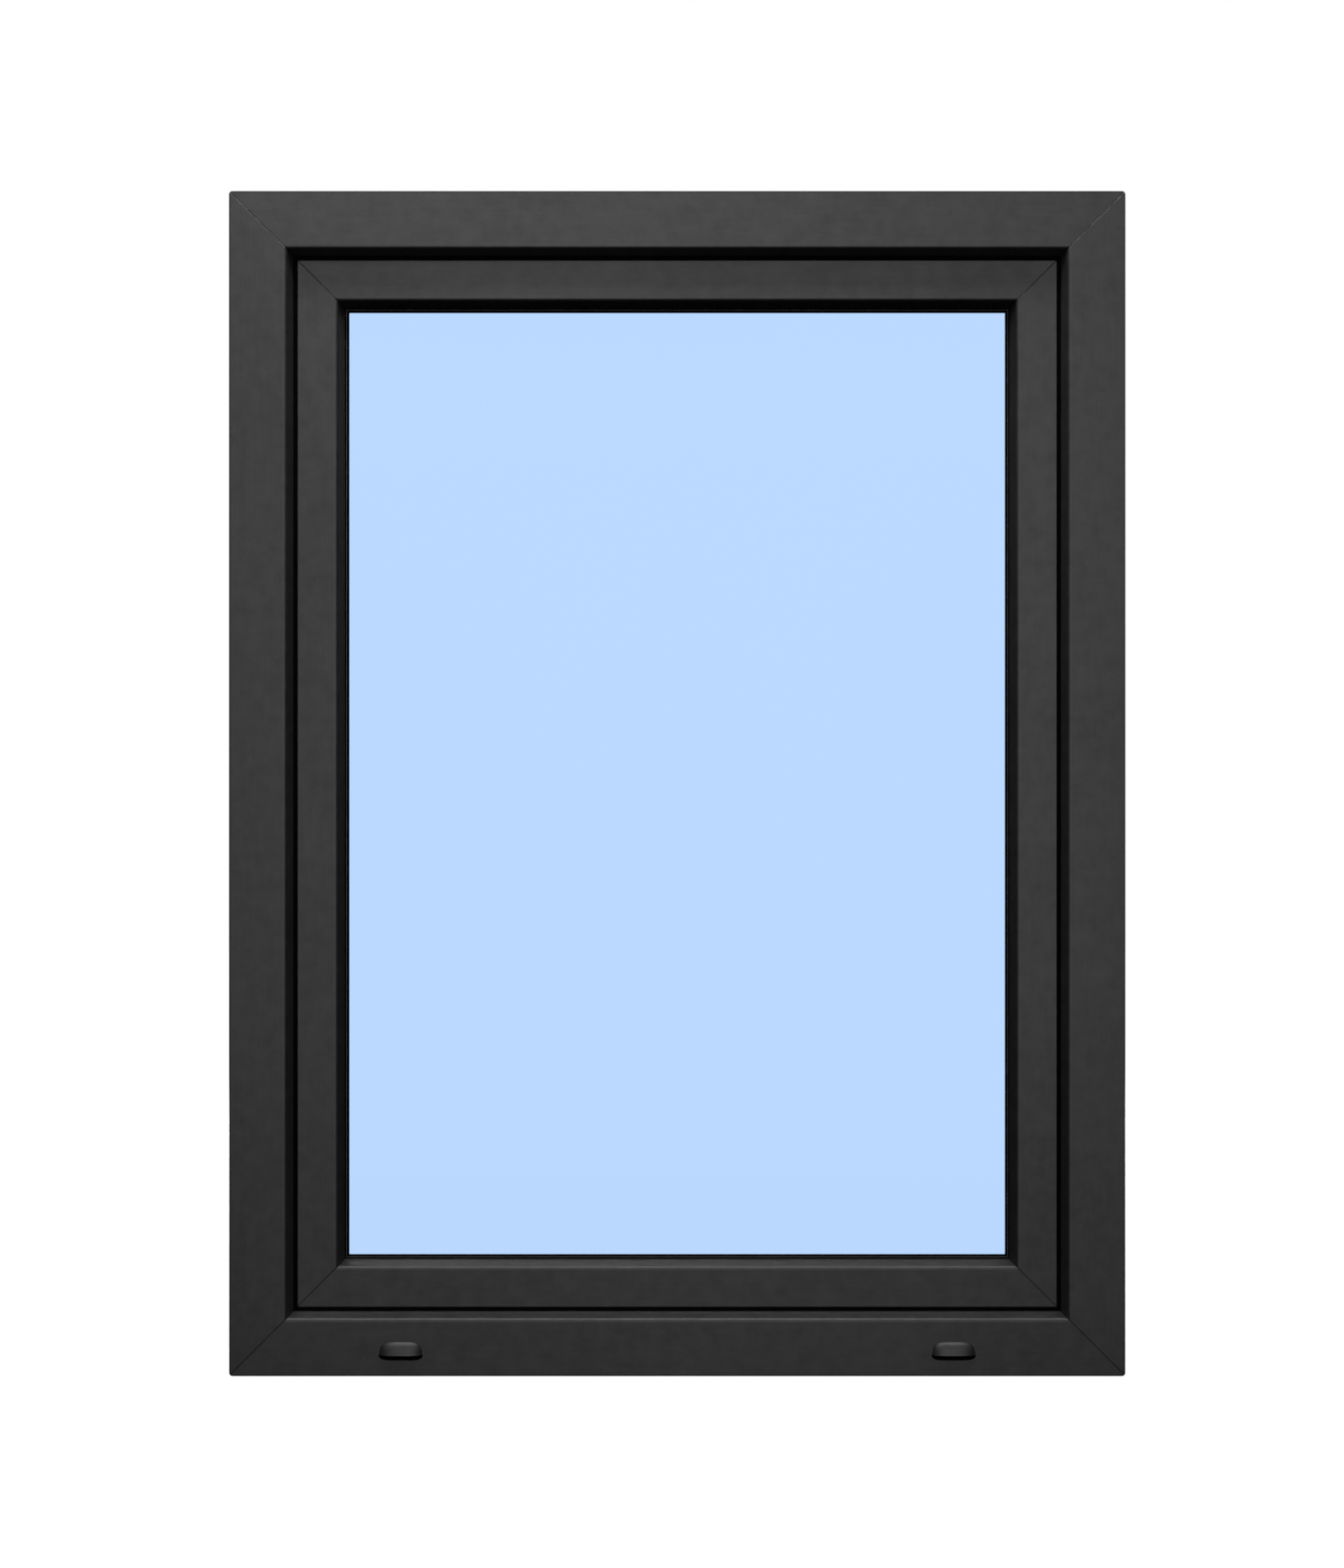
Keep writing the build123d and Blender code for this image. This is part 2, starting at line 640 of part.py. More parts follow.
# ---- hinge line --------------------------------------------------------------------------------
def make_bearings():
    """Stay bearing at the top and corner bearing at the bottom, on the frame's room face."""
    screws = bearing_screws()
    plate_y = (FRAME_ROOM, FRAME_ROOM + PLATE)
    lower = (STAY_SPAN[0], STAY_SPAN[0] + STAY_LUG)
    upper = (STAY_SPAN[1] - STAY_LUG, STAY_SPAN[1])
    stay = block(STAY_PLATE_X, plate_y, (STAY_SPAN[0] - 15.0, STAY_SPAN[1] + 15.0))
    for span in (lower, upper):
        stay = stay + block((AXIS_X - 16.0, AXIS_X - 4.0), (FRAME_ROOM + 1, AXIS_Y), span)
        stay = stay + upright(AXIS_X, AXIS_Y, BARREL, span)
    stay = stay - upright(AXIS_X, AXIS_Y, STAY_PIN + PIN_FIT, (STAY_SPAN[0] - 1, STAY_SPAN[1] + 1))
    add("stay_bearing", drill(stay, [screw_hole(p, d, BEARING_SCREW) for _, p, d in screws]))
    pin = upright(AXIS_X, AXIS_Y, STAY_PIN, (STAY_SPAN[0] - 1.5, STAY_SPAN[1] + 1.0))
    add("stay_bearing_pin", pin)
    cap = upright(AXIS_X, AXIS_Y, BARREL, (STAY_SPAN[1], STAY_SPAN[1] + 4.0))
    cap = fillet(cap.edges().sort_by(Axis.Z)[-1], 2.5)
    seat = upright(AXIS_X, AXIS_Y, STAY_PIN + PIN_FIT, (STAY_SPAN[1] - 1, STAY_SPAN[1] + 1.1))
    add("stay_bearing_cap", cap - seat)

    cup_span = (BEARING_FLOOR, BEARING_TOP)
    cup = block(BEARING_PLATE_X, plate_y, (4.0, BEARING_TOP))
    cup = cup + block((AXIS_X - BARREL, AXIS_X + BARREL), (FRAME_ROOM + 1, AXIS_Y), cup_span)
    cup = cup + upright(AXIS_X, AXIS_Y, BARREL + 1, cup_span)
    cup = cup - upright(AXIS_X, AXIS_Y, PIVOT_PIN + PIN_FIT, (BEARING_FLOOR + 2, BEARING_TOP + 1))
    add("corner_bearing", drill(cup, [screw_hole(p, d, BEARING_SCREW) for _, p, d in screws]))
    foot = upright(AXIS_X, AXIS_Y, BARREL + 1, (BEARING_FLOOR - 4, BEARING_FLOOR))
    add("corner_bearing_cap", fillet(foot.edges().sort_by(Axis.Z)[0], 2.5))
    add("bearing_screws", *[screw(p, d, BEARING_SCREW) for _, p, d in screws])

    pivot = upright(AXIS_X, AXIS_Y, PIVOT_PIN, (BEARING_FLOOR + 2.2, BALL_Z))
    add("corner_pivot_pin", pivot + Pos(AXIS_X, AXIS_Y, BALL_Z) * Sphere(BALL))


def make_corner_band():
    """The sash's lower hinge leaf: ball socket, strap through the gasket gap, plate on the edge."""
    strap_y = (FRAME_ROOM + STRAP_EASE, FRAME_ROOM + STRAP_EASE + STRAP)
    edge_x = SASH_EDGE - WIDTH / 2
    strap_low = BALL_Z + 2.0
    band = upright(AXIS_X, AXIS_Y, BARREL, (BALL_Z - 3.5, BAND_TOP))
    band = band + block((AXIS_X, AXIS_X + 4.0), (strap_y[0], AXIS_Y - 4.0), (strap_low, BAND_TOP))
    band = band + block((AXIS_X, edge_x - STRAP), strap_y, (strap_low, BAND_TOP))
    plate_low = SASH_EDGE + 4.0
    plate_high = BAND_SCREWS[1] + 12.0
    band = band + block((edge_x - STRAP - 0.5, edge_x), strap_y, (plate_low, BAND_TOP))
    band = band + block((edge_x - STRAP, edge_x), (GROOVE_Y - 7.0, strap_y[1]), (plate_low, plate_high))
    socket = Pos(AXIS_X, AXIS_Y, BALL_Z) * Sphere(BALL + BALL_EASE)
    socket = socket + upright(AXIS_X, AXIS_Y, BALL + BALL_EASE, (BALL_Z - 10, BALL_Z))
    holes = [screw_hole(p, d, SASH_SCREW) for s, p, d in sash_screws() if s == "hinge"]
    add("corner_band", drill(band - socket, holes))
    cap = upright(AXIS_X, AXIS_Y, BARREL, (BAND_TOP, BAND_TOP + 4.0))
    add("corner_band_cap", fillet(cap.edges().sort_by(Axis.Z)[-1], 2.5))


def make_stay_arm():
    """The arm that holds the tilted sash: knuckle, strap, flat arm and slider pin."""
    low = STAY_SPAN[0] + STAY_LUG + KNUCKLE_GAP
    knuckle = (low, low + STAY_KNUCKLE)
    strap_y = (FRAME_ROOM + STRAP_EASE, FRAME_ROOM + STRAP_EASE + STRAP)
    arm_z = (SASH_TOP + ARM_EASE, SASH_TOP + ARM_EASE + ARM)
    edge_x = SASH_EDGE - WIDTH / 2
    turn_x = edge_x - 2.0
    strap_top = HEIGHT - FLOOR - 1.0
    pin_x = AXIS_X + ARM_LENGTH
    arm = upright(AXIS_X, AXIS_Y, BARREL, knuckle)
    arm = arm + block((AXIS_X, AXIS_X + 4.0), (strap_y[0], AXIS_Y - 4.0), knuckle)
    arm = arm + block((AXIS_X, turn_x), strap_y, (knuckle[0], strap_top))
    arm = arm + block((turn_x - 1, turn_x + 22.0), strap_y, (arm_z[0], strap_top))
    arm = arm + block((turn_x, turn_x + 22.0), (GROOVE_Y, strap_y[1]), arm_z)
    near, far = GROOVE_Y - 7.0, GROOVE_Y - 7.0 + ARM_WIDTH
    tip = CAM_HEAD + 2.0
    plan = outline(
        [(turn_x, near), (pin_x, GROOVE_Y - tip), (pin_x, GROOVE_Y + tip), (pin_x - 22.0, far), (turn_x, far)]
    )
    plan = plan + Pos(pin_x, GROOVE_Y) * Circle(tip)
    arm = arm + Pos(0, 0, arm_z[0]) * extrude(plan, amount=ARM)
    arm = arm - upright(AXIS_X, AXIS_Y, STAY_PIN + PIN_FIT, (knuckle[0] - 1, knuckle[1] + 1))
    add("stay_arm", arm)
    add("stay_slider_pin", upright(pin_x, GROOVE_Y, SLIDER_PIN, (SASH_TOP - 8.0, arm_z[0])))


# ---- sash --------------------------------------------------------------------------------------
def gearbox_pocket(ease=CASE_EASE):
    """The space in the lock stile that the gearbox slides into."""
    half = CASE_WIDTH / 2 + ease
    deep = SPINDLE_U + PITCH_RADIUS + ADDENDUM + 2.0
    height = CASE_HEIGHT / 2 + ease
    return side_block(
        "lock",
        (SASH_EDGE + FACEPLATE_RECESS - 1, deep + ease),
        (GROOVE_Y - half, GROOVE_Y + half),
        (HANDLE_Z - height, HANDLE_Z + height),
    )


def handle_holes():
    """Spindle and screw holes from the room face to the gearbox."""
    y = GROOVE_Y
    length = SASH_ROOM - y + 1
    holes = [rod_between((SPINDLE_X, y, HANDLE_Z), (0, 1, 0), SPINDLE, length)]
    for end in (-1, 1):
        z = HANDLE_Z + end * HANDLE_SCREW_PITCH / 2
        holes.append(rod_between((SPINDLE_X, y, z), (0, 1, 0), SCREW + 1.0, length))
    return holes


def make_sash():
    """Four welded sash members, their steels and the room-side gasket."""
    section, (steel_u, steel_y, _, flange_groove, _) = sash_section()
    names = {
        "hinge": "sash_stile_hinge",
        "lock": "sash_stile_lock",
        "sill": "sash_bottom_rail",
        "head": "sash_top_rail",
    }
    places = sash_screws()
    for side, name in names.items():
        holes = [screw_hole(p, d, SASH_SCREW) for s, p, d in places if s == side]
        steel = square_tube(side, steel_u, steel_y, SASH_STEEL_SHORT)
        if side == "lock":
            holes += [gearbox_pocket()] + handle_holes()
        add(name, drill(bar(section, side), holes))
        steel_name = "sash_steel_horizontal" if side in ("head", "sill") else f"sash_steel_{side}"
        add(steel_name, drill(steel, holes))

    foot = field(
        (flange_groove + 0.2, flange_groove + GROOVE_WIDTH - 0.2),
        (FLANGE_BACK - 0.5, FLANGE_BACK + GROOVE_DEPTH - 0.2),
    )
    face = FRAME_ROOM + GASKET_EASE
    bulb = outline(
        [
            (flange_groove - 1.5, FLANGE_BACK),
            (flange_groove - 0.5, face),
            (flange_groove + 2.5, face),
            (flange_groove + 4.0, FLANGE_BACK),
        ]
    )
    gasket = ring(foot + bulb)
    x = (FLANGE_EDGE - WIDTH / 2 - 1, SASH_EDGE - WIDTH / 2 + 4)
    y = (FRAME_ROOM, FLANGE_BACK)
    gasket = gasket - block(x, y, (FLANGE_EDGE - 2, BAND_TOP + 3))
    knuckle_low = STAY_SPAN[0] + STAY_LUG - 2
    gasket = gasket - block(x, y, (knuckle_low, HEIGHT - FLOOR + 1))
    add("sash_gasket", gasket)


def make_glazing():
    """Sealed unit, packers, gaskets and the four clip-in beads."""
    _, (_, _, gasket_groove, _, bead_groove) = sash_section()
    add("glass_pane_outer", slab(GLASS_EDGE, (OUTER_PANE_Y, CAVITY_Y)))
    add("glass_pane_inner", slab(GLASS_EDGE, (INNER_PANE_Y, INNER_PANE_Y + PANE)))
    cavity = (CAVITY_Y, INNER_PANE_Y)
    seal_edge = GLASS_EDGE + SEAL_WIDTH
    add("glass_edge_seal", slab(GLASS_EDGE, cavity) - slab(seal_edge, cavity))
    add("spacer_bar", slab(seal_edge, cavity) - slab(seal_edge + SPACER_WIDTH, cavity))

    u = (REBATE_FLOOR + PACKER_EASE, GLASS_EDGE - PACKER_EASE)
    y = (REBATE_FRONT + 1.5, BEAD_FRONT - 1.5)
    for side, (_, _, length) in SIDES.items():
        middle = HEIGHT / 2 if side in ("hinge", "lock") else 0
        offset = length / 2 - GLASS_EDGE - PACKER_LENGTH
        for end in (-1, 1):
            centre = middle + end * offset
            along = (centre - PACKER_LENGTH / 2, centre + PACKER_LENGTH / 2)
            add("glazing_packers", side_block(side, u, y, along))

    foot = field(
        (gasket_groove + 0.2, gasket_groove + GROOVE_WIDTH - 0.2),
        (REBATE_FRONT - GROOVE_DEPTH + 0.2, REBATE_FRONT + 0.5),
    )
    lip = outline(
        [
            (gasket_groove - 1.5, REBATE_FRONT),
            (SASH_INNER, REBATE_FRONT),
            (SASH_INNER + GASKET_REACH, REBATE_FRONT + 1.0),
            (SASH_INNER + GASKET_REACH, OUTER_PANE_Y),
            (gasket_groove - 1.5, OUTER_PANE_Y),
        ]
    )
    add("glazing_gasket_outer", ring(foot + lip))
    inner = outline(
        [
            (REBATE_FLOOR + 8.0, BEAD_FRONT),
            (REBATE_FLOOR + 8.0, INNER_PANE_Y + PANE),
            (REBATE_FLOOR + BEAD_FACE + 2.5, INNER_PANE_Y + PANE),
            (REBATE_FLOOR + BEAD_FACE + 2.5, BEAD_FRONT - 1.0),
            (REBATE_FLOOR + BEAD_FACE, BEAD_FRONT),
        ]
    )
    add("glazing_gasket_inner", ring(inner))

    bead = outline(
        [
            (REBATE_FLOOR, BEAD_FRONT),
            (REBATE_FLOOR + BEAD_FACE, BEAD_FRONT),
            (REBATE_FLOOR + BEAD_FACE, BEAD_FRONT + BEAD_LAND),
            (REBATE_FLOOR + BEAD_LAND, SASH_ROOM),
            (REBATE_FLOOR, SASH_ROOM),
        ],
        [(2, SMALL_ROUND), (3, EDGE_ROUND)],
    )
    bead = bead + field(
        (REBATE_FLOOR - GROOVE_DEPTH + 0.3, REBATE_FLOOR + 0.5),
        (bead_groove + 0.2, bead_groove + GROOVE_WIDTH - 0.2),
    )
    wall = WALL / 2
    bead = bead - outline(
        [
            (REBATE_FLOOR + wall, BEAD_FRONT + wall),
            (REBATE_FLOOR + BEAD_FACE - WALL, BEAD_FRONT + wall),
            (REBATE_FLOOR + BEAD_FACE - WALL, BEAD_FRONT + BEAD_LAND - 1.0),
            (REBATE_FLOOR + wall, SASH_ROOM - 6.0),
        ]
    )
    names = {"hinge": "bead_hinge_side", "lock": "bead_lock_side", "sill": "bead_bottom", "head": "bead_top"}
    for side, name in names.items():
        add(name, bar(bead, side))


# ---- locking gear ------------------------------------------------------------------------------
def cam_slot(side, along):
    """The slot in a faceplate that a cam slides in."""
    u = (SASH_EDGE - 1, SASH_EDGE + FACEPLATE_RECESS + 1)
    return slotted_hole(side, along, STROKE + SLIDE_EASE, CAM_STEM + 0.5, u)


def make_faceplates():
    """The plates that close the hardware groove, and the two corner drives."""
    cams = {"lock": CAM_HEIGHTS, "head": (CAM_X,), "sill": (CAM_X,)}
    half = FACEPLATE_WIDTH / 2
    y = (GROOVE_Y - half, GROOVE_Y + half)
    u = (SASH_EDGE, SASH_EDGE + FACEPLATE)
    places = sash_screws()
    names = {"lock": "faceplate_lock", "head": "faceplate_top", "sill": "faceplate_bottom"}
    for side, name in names.items():
        plate = side_block(side, u, y, PLATE_SPANS[side])
        holes = [cam_slot(side, along) for along in cams[side]]
        holes += [screw_hole(p, d, SASH_SCREW) for s, p, d in places if s == side]
        if side == "head":
            centre = AXIS_X + ARM_LENGTH - SLIDER_RUN / 2
            cut = (SASH_EDGE - 1, SASH_EDGE + FACEPLATE + 1)
            holes.append(slotted_hole("head", centre, SLIDER_RUN / 2 + 1.0, SLIDER_SLOT, cut))
        add(name, drill(plate, holes))

    edge = WIDTH / 2 - SASH_EDGE
    deep = ROD_GROOVE_FLOOR - SLIDE_EASE
    narrow = (GROOVE_Y - ROD_GROOVE_WIDTH / 2 + SLIDE_EASE, GROOVE_Y + ROD_GROOVE_WIDTH / 2 - SLIDE_EASE)
    for rail, upper in (("head", True), ("sill", False)):
        corner = SASH_TOP if upper else SASH_EDGE
        way = -1 if upper else 1
        leg_z = sorted((corner, corner + way * CORNER_LEG))
        box_z = sorted((corner, corner + way * CORNER_HOUSING))
        stile_leg = side_block("lock", u, y, leg_z)
        rail_leg = side_block(rail, u, y, (edge - CORNER_LEG, edge))
        stile_box = side_block("lock", (SASH_EDGE, deep), narrow, box_z)
        rail_box = side_block(rail, (SASH_EDGE, deep), narrow, (edge - CORNER_HOUSING, edge))
        holes = [screw_hole(p, d, SASH_SCREW) for s, p, d in places if s in ("lock", rail)]
        add("corner_drives", drill(stile_leg + rail_leg + stile_box + rail_box, holes))
    add("hardware_screws", *[screw(p, d, SASH_SCREW) for _, p, d in places])


def rod(side, span, cams):
    """A flat rod with its mushroom cams."""
    half = ROD_WIDTH / 2
    strip = side_block(side, (ROD_U, ROD_U + ROD), (GROOVE_Y - half, GROOVE_Y + half), span)
    tip = SASH_EDGE - CAM_REACH
    for along in cams:
        foot = side_point(side, ROD_U + ROD, GROOVE_Y, along)
        strip = strip + rod_between(foot, outward(side), CAM_STEM, ROD_U + ROD - tip - 1)
        head = side_point(side, tip + CAM_HEAD_HEIGHT, GROOVE_Y, along)
        strip = strip + rod_between(head, outward(side), CAM_HEAD, CAM_HEAD_HEIGHT)
    return strip


def rack():
    """The lock rod's rack: straight teeth whose middle one lies opposite the spindle."""
    root = RACK_DEPTH - DEDENDUM
    tip = RACK_DEPTH + ADDENDUM
    half = (PITCH / 2 - BACKLASH) / 2
    wide = half + DEDENDUM * tan(PRESSURE_ANGLE)
    narrow = half - ADDENDUM * tan(PRESSURE_ANGLE)
    count = TEETH_PER_QUARTER + 2
    y = GROOVE_Y - PINION_WIDTH / 2
    length = (2 * count + 1) * PITCH / 2
    span = (HANDLE_Z - length, HANDLE_Z + length)
    teeth = side_block("lock", (ROD_U, root + 0.2), (y, y + PINION_WIDTH), span)
    for i in range(-count, count + 1):
        z = HANDLE_Z + i * PITCH
        points = [(root, -wide), (root, wide), (tip, narrow), (tip, -narrow)]
        tooth = outline([(WIDTH / 2 - u, z + v) for u, v in points])
        teeth = teeth + Pos(0, y + PINION_WIDTH, 0) * extrude(Plane.XZ * tooth, amount=PINION_WIDTH)
    return teeth


def involute_tooth(base, radii, half_pitch):
    """Half angles of one tooth at the given radii."""
    roll = tan(PRESSURE_ANGLE) - PRESSURE_ANGLE
    angles = []
    for radius in radii:
        pressure = acos(min(1.0, base / radius))
        angles.append(half_pitch + roll - (tan(pressure) - pressure))
    return angles


def pinion_outline():
    """Involute pinion whose tooth gap faces the rack."""
    base = PITCH_RADIUS * cos(PRESSURE_ANGLE)
    root = PITCH_RADIUS - DEDENDUM
    tip = PITCH_RADIUS + ADDENDUM
    steps = 4
    radii = [base + (tip - base) * i / steps for i in range(steps + 1)]
    angles = involute_tooth(base, radii, (PITCH / 2 - BACKLASH) / 2 / PITCH_RADIUS)
    count = 4 * TEETH_PER_QUARTER
    points = []
    for i in range(count):
        middle = (i + 0.5) * 2 * pi / count
        flank = [(root, angles[0])] + list(zip(radii, angles))
        polar = [(r, middle - a) for r, a in flank] + [(r, middle + a) for r, a in reversed(flank)]
        points += [(r * cos(a), r * sin(a)) for r, a in polar]
    return outline(points)


def make_gear():
    """Gearbox, pinion and the three rods."""
    case_y = (GROOVE_Y - CASE_WIDTH / 2, GROOVE_Y + CASE_WIDTH / 2)
    deep = SPINDLE_U + PITCH_RADIUS + ADDENDUM + 2.0
    case_u = (SASH_EDGE + FACEPLATE_RECESS, deep)
    height = (HANDLE_Z - CASE_HEIGHT / 2, HANDLE_Z + CASE_HEIGHT / 2)
    inner_y = (case_y[0] + CASE_WALL, case_y[1] - CASE_WALL)
    case = side_block("lock", case_u, case_y, height)
    room = PITCH_RADIUS + ADDENDUM + 0.6
    case = case - rod_between((SPINDLE_X, inner_y[0], HANDLE_Z), (0, 1, 0), room, inner_y[1] - inner_y[0])
    channel = (case_u[0] - 1, RACK_DEPTH + ADDENDUM + 0.5)
    case = case - side_block("lock", channel, inner_y, (height[0] - 1, height[1] + 1))
    axle = (SPINDLE_X, case_y[0] - 1, HANDLE_Z)
    case = case - rod_between(axle, (0, 1, 0), HUB + SLIDE_EASE, CASE_WIDTH + 2)
    for end in (-1, 1):
        z = HANDLE_Z + end * HANDLE_SCREW_PITCH / 2
        case = case - rod_between((SPINDLE_X, GROOVE_Y - 1, z), (0, 1, 0), SCREW + SCREW_EASE, CASE_WIDTH)
    add("gearbox_case", case)

    gear = extrude(Plane.XZ * pinion_outline(), amount=PINION_WIDTH / 2, both=True)
    hub = rod_between((0, -CASE_WIDTH / 2 + 0.1, 0), (0, 1, 0), HUB, CASE_WIDTH - 0.2)
    square = Box(SPINDLE + 0.1, CASE_WIDTH + 2, SPINDLE + 0.1)
    add("gearbox_pinion", Pos(SPINDLE_X, GROOVE_Y, HANDLE_Z) * (gear + hub - square))

    ends = SCREW_INSET + STROKE + 6.0
    lock_span = (PLATE_SPANS["lock"][0] + ends, PLATE_SPANS["lock"][1] - ends)
    add("lock_rod", rod("lock", lock_span, CAM_HEIGHTS) + rack())
    right = PLATE_SPANS["head"][1] - ends
    start = AXIS_X + ARM_LENGTH + STROKE + 20.0
    add("top_rod", rod("head", (start, right), (CAM_X,)))
    add("bottom_rod", rod("sill", (PLATE_SPANS["sill"][0] + ends, right), (CAM_X,)))


def make_handle():
    """Lever handle at its middle position, pointing away from the frame's edge."""
    width, depth, height = ROSETTE
    rosette = Box(width, depth, height)
    rosette = fillet(rosette.edges().filter_by(Axis.Y), width / 2 - 1.0)
    rosette = fillet(rosette.faces().sort_by(Axis.Y)[-1].edges(), 2.5)
    rosette = Pos(SPINDLE_X, SASH_ROOM + depth / 2, HANDLE_Z) * rosette
    face = SASH_ROOM + depth
    holes = [rod_between((SPINDLE_X, SASH_ROOM - 1, HANDLE_Z), (0, 1, 0), NECK + SLIDE_EASE, depth + 2)]
    screws = []
    length = face - GROOVE_Y - 1.0
    for end in (-1, 1):
        start = (SPINDLE_X, face, HANDLE_Z + end * HANDLE_SCREW_PITCH / 2)
        holes.append(screw_hole(start, (0, -1, 0), length))
        screws.append(screw(start, (0, -1, 0), length))
    add("handle_rosette", drill(rosette, holes))
    add("handle_screws", *screws)

    neck = rod_between((0, SASH_ROOM + NECK_SINK, 0), (0, 1, 0), NECK, NECK_LENGTH)
    grip_high, grip_thick = GRIP
    middle_y = SASH_ROOM + NECK_LENGTH + 2.0
    grip = block(
        (-GRIP_LENGTH, NECK + 2.0),
        (middle_y - grip_thick / 2, middle_y + grip_thick / 2),
        (-grip_high / 2, grip_high / 2),
    )
    grip = fillet(grip.edges().filter_by(Axis.X), GRIP_ROUND)
    grip = fillet(grip.faces().sort_by(Axis.X)[0].edges(), GRIP_END_ROUND)
    grip = fillet(grip.faces().sort_by(Axis.X)[-1].edges(), GRIP_END_ROUND)
    half = SPINDLE / 2
    wide = half + PIN_FIT
    spindle_end = face + SPINDLE_GRIP
    square = block((-wide, wide), (SASH_ROOM, spindle_end + 0.5), (-wide, wide))
    add("handle_grip", Pos(SPINDLE_X, 0, HANDLE_Z) * (neck + grip - square))
    spindle = block((-half, half), (GROOVE_Y - CASE_WIDTH / 2, spindle_end), (-half, half))
    add("handle_spindle", Pos(SPINDLE_X, 0, HANDLE_Z) * spindle)


make_frame()
make_drain_caps()
make_strikers()
make_bearings()
make_corner_band()
make_stay_arm()
make_sash()
make_glazing()
make_faceplates()
make_gear()
make_handle()

os.makedirs("parts", exist_ok=True)
for node, solids in nodes.items():
    export_step(solids[0] if len(solids) == 1 else Compound(solids), f"parts/{node}.step")
    print(node, len(solids))
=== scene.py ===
"""Looks of the tilt-and-turn casement window: profiles, seals, glass, caps, handle and gear."""

import logging
from collections.abc import Mapping, Sequence
from dataclasses import dataclass
from enum import Enum
from math import pi, radians

import bmesh
import bpy
import numpy as np
from numpy.typing import NDArray
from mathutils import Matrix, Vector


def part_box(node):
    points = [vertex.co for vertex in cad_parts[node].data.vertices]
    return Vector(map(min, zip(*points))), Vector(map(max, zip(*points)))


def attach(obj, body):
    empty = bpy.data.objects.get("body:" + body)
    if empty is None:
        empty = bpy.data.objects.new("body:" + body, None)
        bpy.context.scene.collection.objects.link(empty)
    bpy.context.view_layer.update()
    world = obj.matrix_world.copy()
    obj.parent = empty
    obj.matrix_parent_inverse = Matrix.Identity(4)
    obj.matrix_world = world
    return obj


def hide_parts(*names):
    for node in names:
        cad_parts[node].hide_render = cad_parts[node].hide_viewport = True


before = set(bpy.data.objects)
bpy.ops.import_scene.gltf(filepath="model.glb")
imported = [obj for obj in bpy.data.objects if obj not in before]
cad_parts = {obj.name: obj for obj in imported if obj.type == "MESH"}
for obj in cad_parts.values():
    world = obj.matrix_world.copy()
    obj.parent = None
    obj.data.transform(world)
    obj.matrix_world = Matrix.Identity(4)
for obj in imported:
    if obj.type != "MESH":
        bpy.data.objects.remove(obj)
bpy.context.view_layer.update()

MM = 0.001
LOG = logging.getLogger("window")
Array = NDArray[np.float64]
Colour = tuple[float, float, float]


# ---- shader maths ------------------------------------------------------------------------------
class Value:
    """A number that varies over a surface. Arithmetic on it adds Math nodes."""

    def __init__(self, tree: "Tree", socket: bpy.types.NodeSocket) -> None:
        """Wraps one output socket of a tree."""
        self.tree = tree
        self.socket = socket

    def _math(self, operation: str, *operands: "Value | float") -> "Value":
        """Adds one Math node.

        Args:
            operation: the node's operation.
            operands: its inputs, in order.

        Returns:
            The node's result.
        """
        node = self.tree.node("ShaderNodeMath", {"operation": operation}, dict(enumerate(operands)))
        return Value(self.tree, node.outputs[0])

    def __add__(self, other: "Value | float") -> "Value":
        """self + other."""
        return self._math("ADD", self, other)

    def __radd__(self, other: float) -> "Value":
        """other + self."""
        return self._math("ADD", other, self)

    def __sub__(self, other: "Value | float") -> "Value":
        """self - other."""
        return self._math("SUBTRACT", self, other)

    def __rsub__(self, other: float) -> "Value":
        """other - self."""
        return self._math("SUBTRACT", other, self)

    def __mul__(self, other: "Value | float") -> "Value":
        """self * other."""
        return self._math("MULTIPLY", self, other)

    def __rmul__(self, other: float) -> "Value":
        """other * self."""
        return self._math("MULTIPLY", other, self)

    def __abs__(self) -> "Value":
        """The value without its sign."""
        return self._math("ABSOLUTE", self)

    def least(self, other: "Value | float") -> "Value":
        """The smaller of two values."""
        return self._math("MINIMUM", self, other)

    def most(self, other: "Value | float") -> "Value":
        """The larger of two values."""
        return self._math("MAXIMUM", self, other)

    def ramp(self, low: float, high: float) -> "Value":
        """0 below low, 1 above high, and a smooth step between them.

        Args:
            low: where the step starts.
            high: where it ends.

        Returns:
            The step, 0 to 1.
        """
        node = self.tree.node(
            "ShaderNodeMapRange",
            {"interpolation_type": "SMOOTHSTEP"},
            {"Value": self, "From Min": low, "From Max": high},
        )
        return Value(self.tree, node.outputs[0])


Input = Value | bpy.types.NodeSocket | float | Sequence[float]


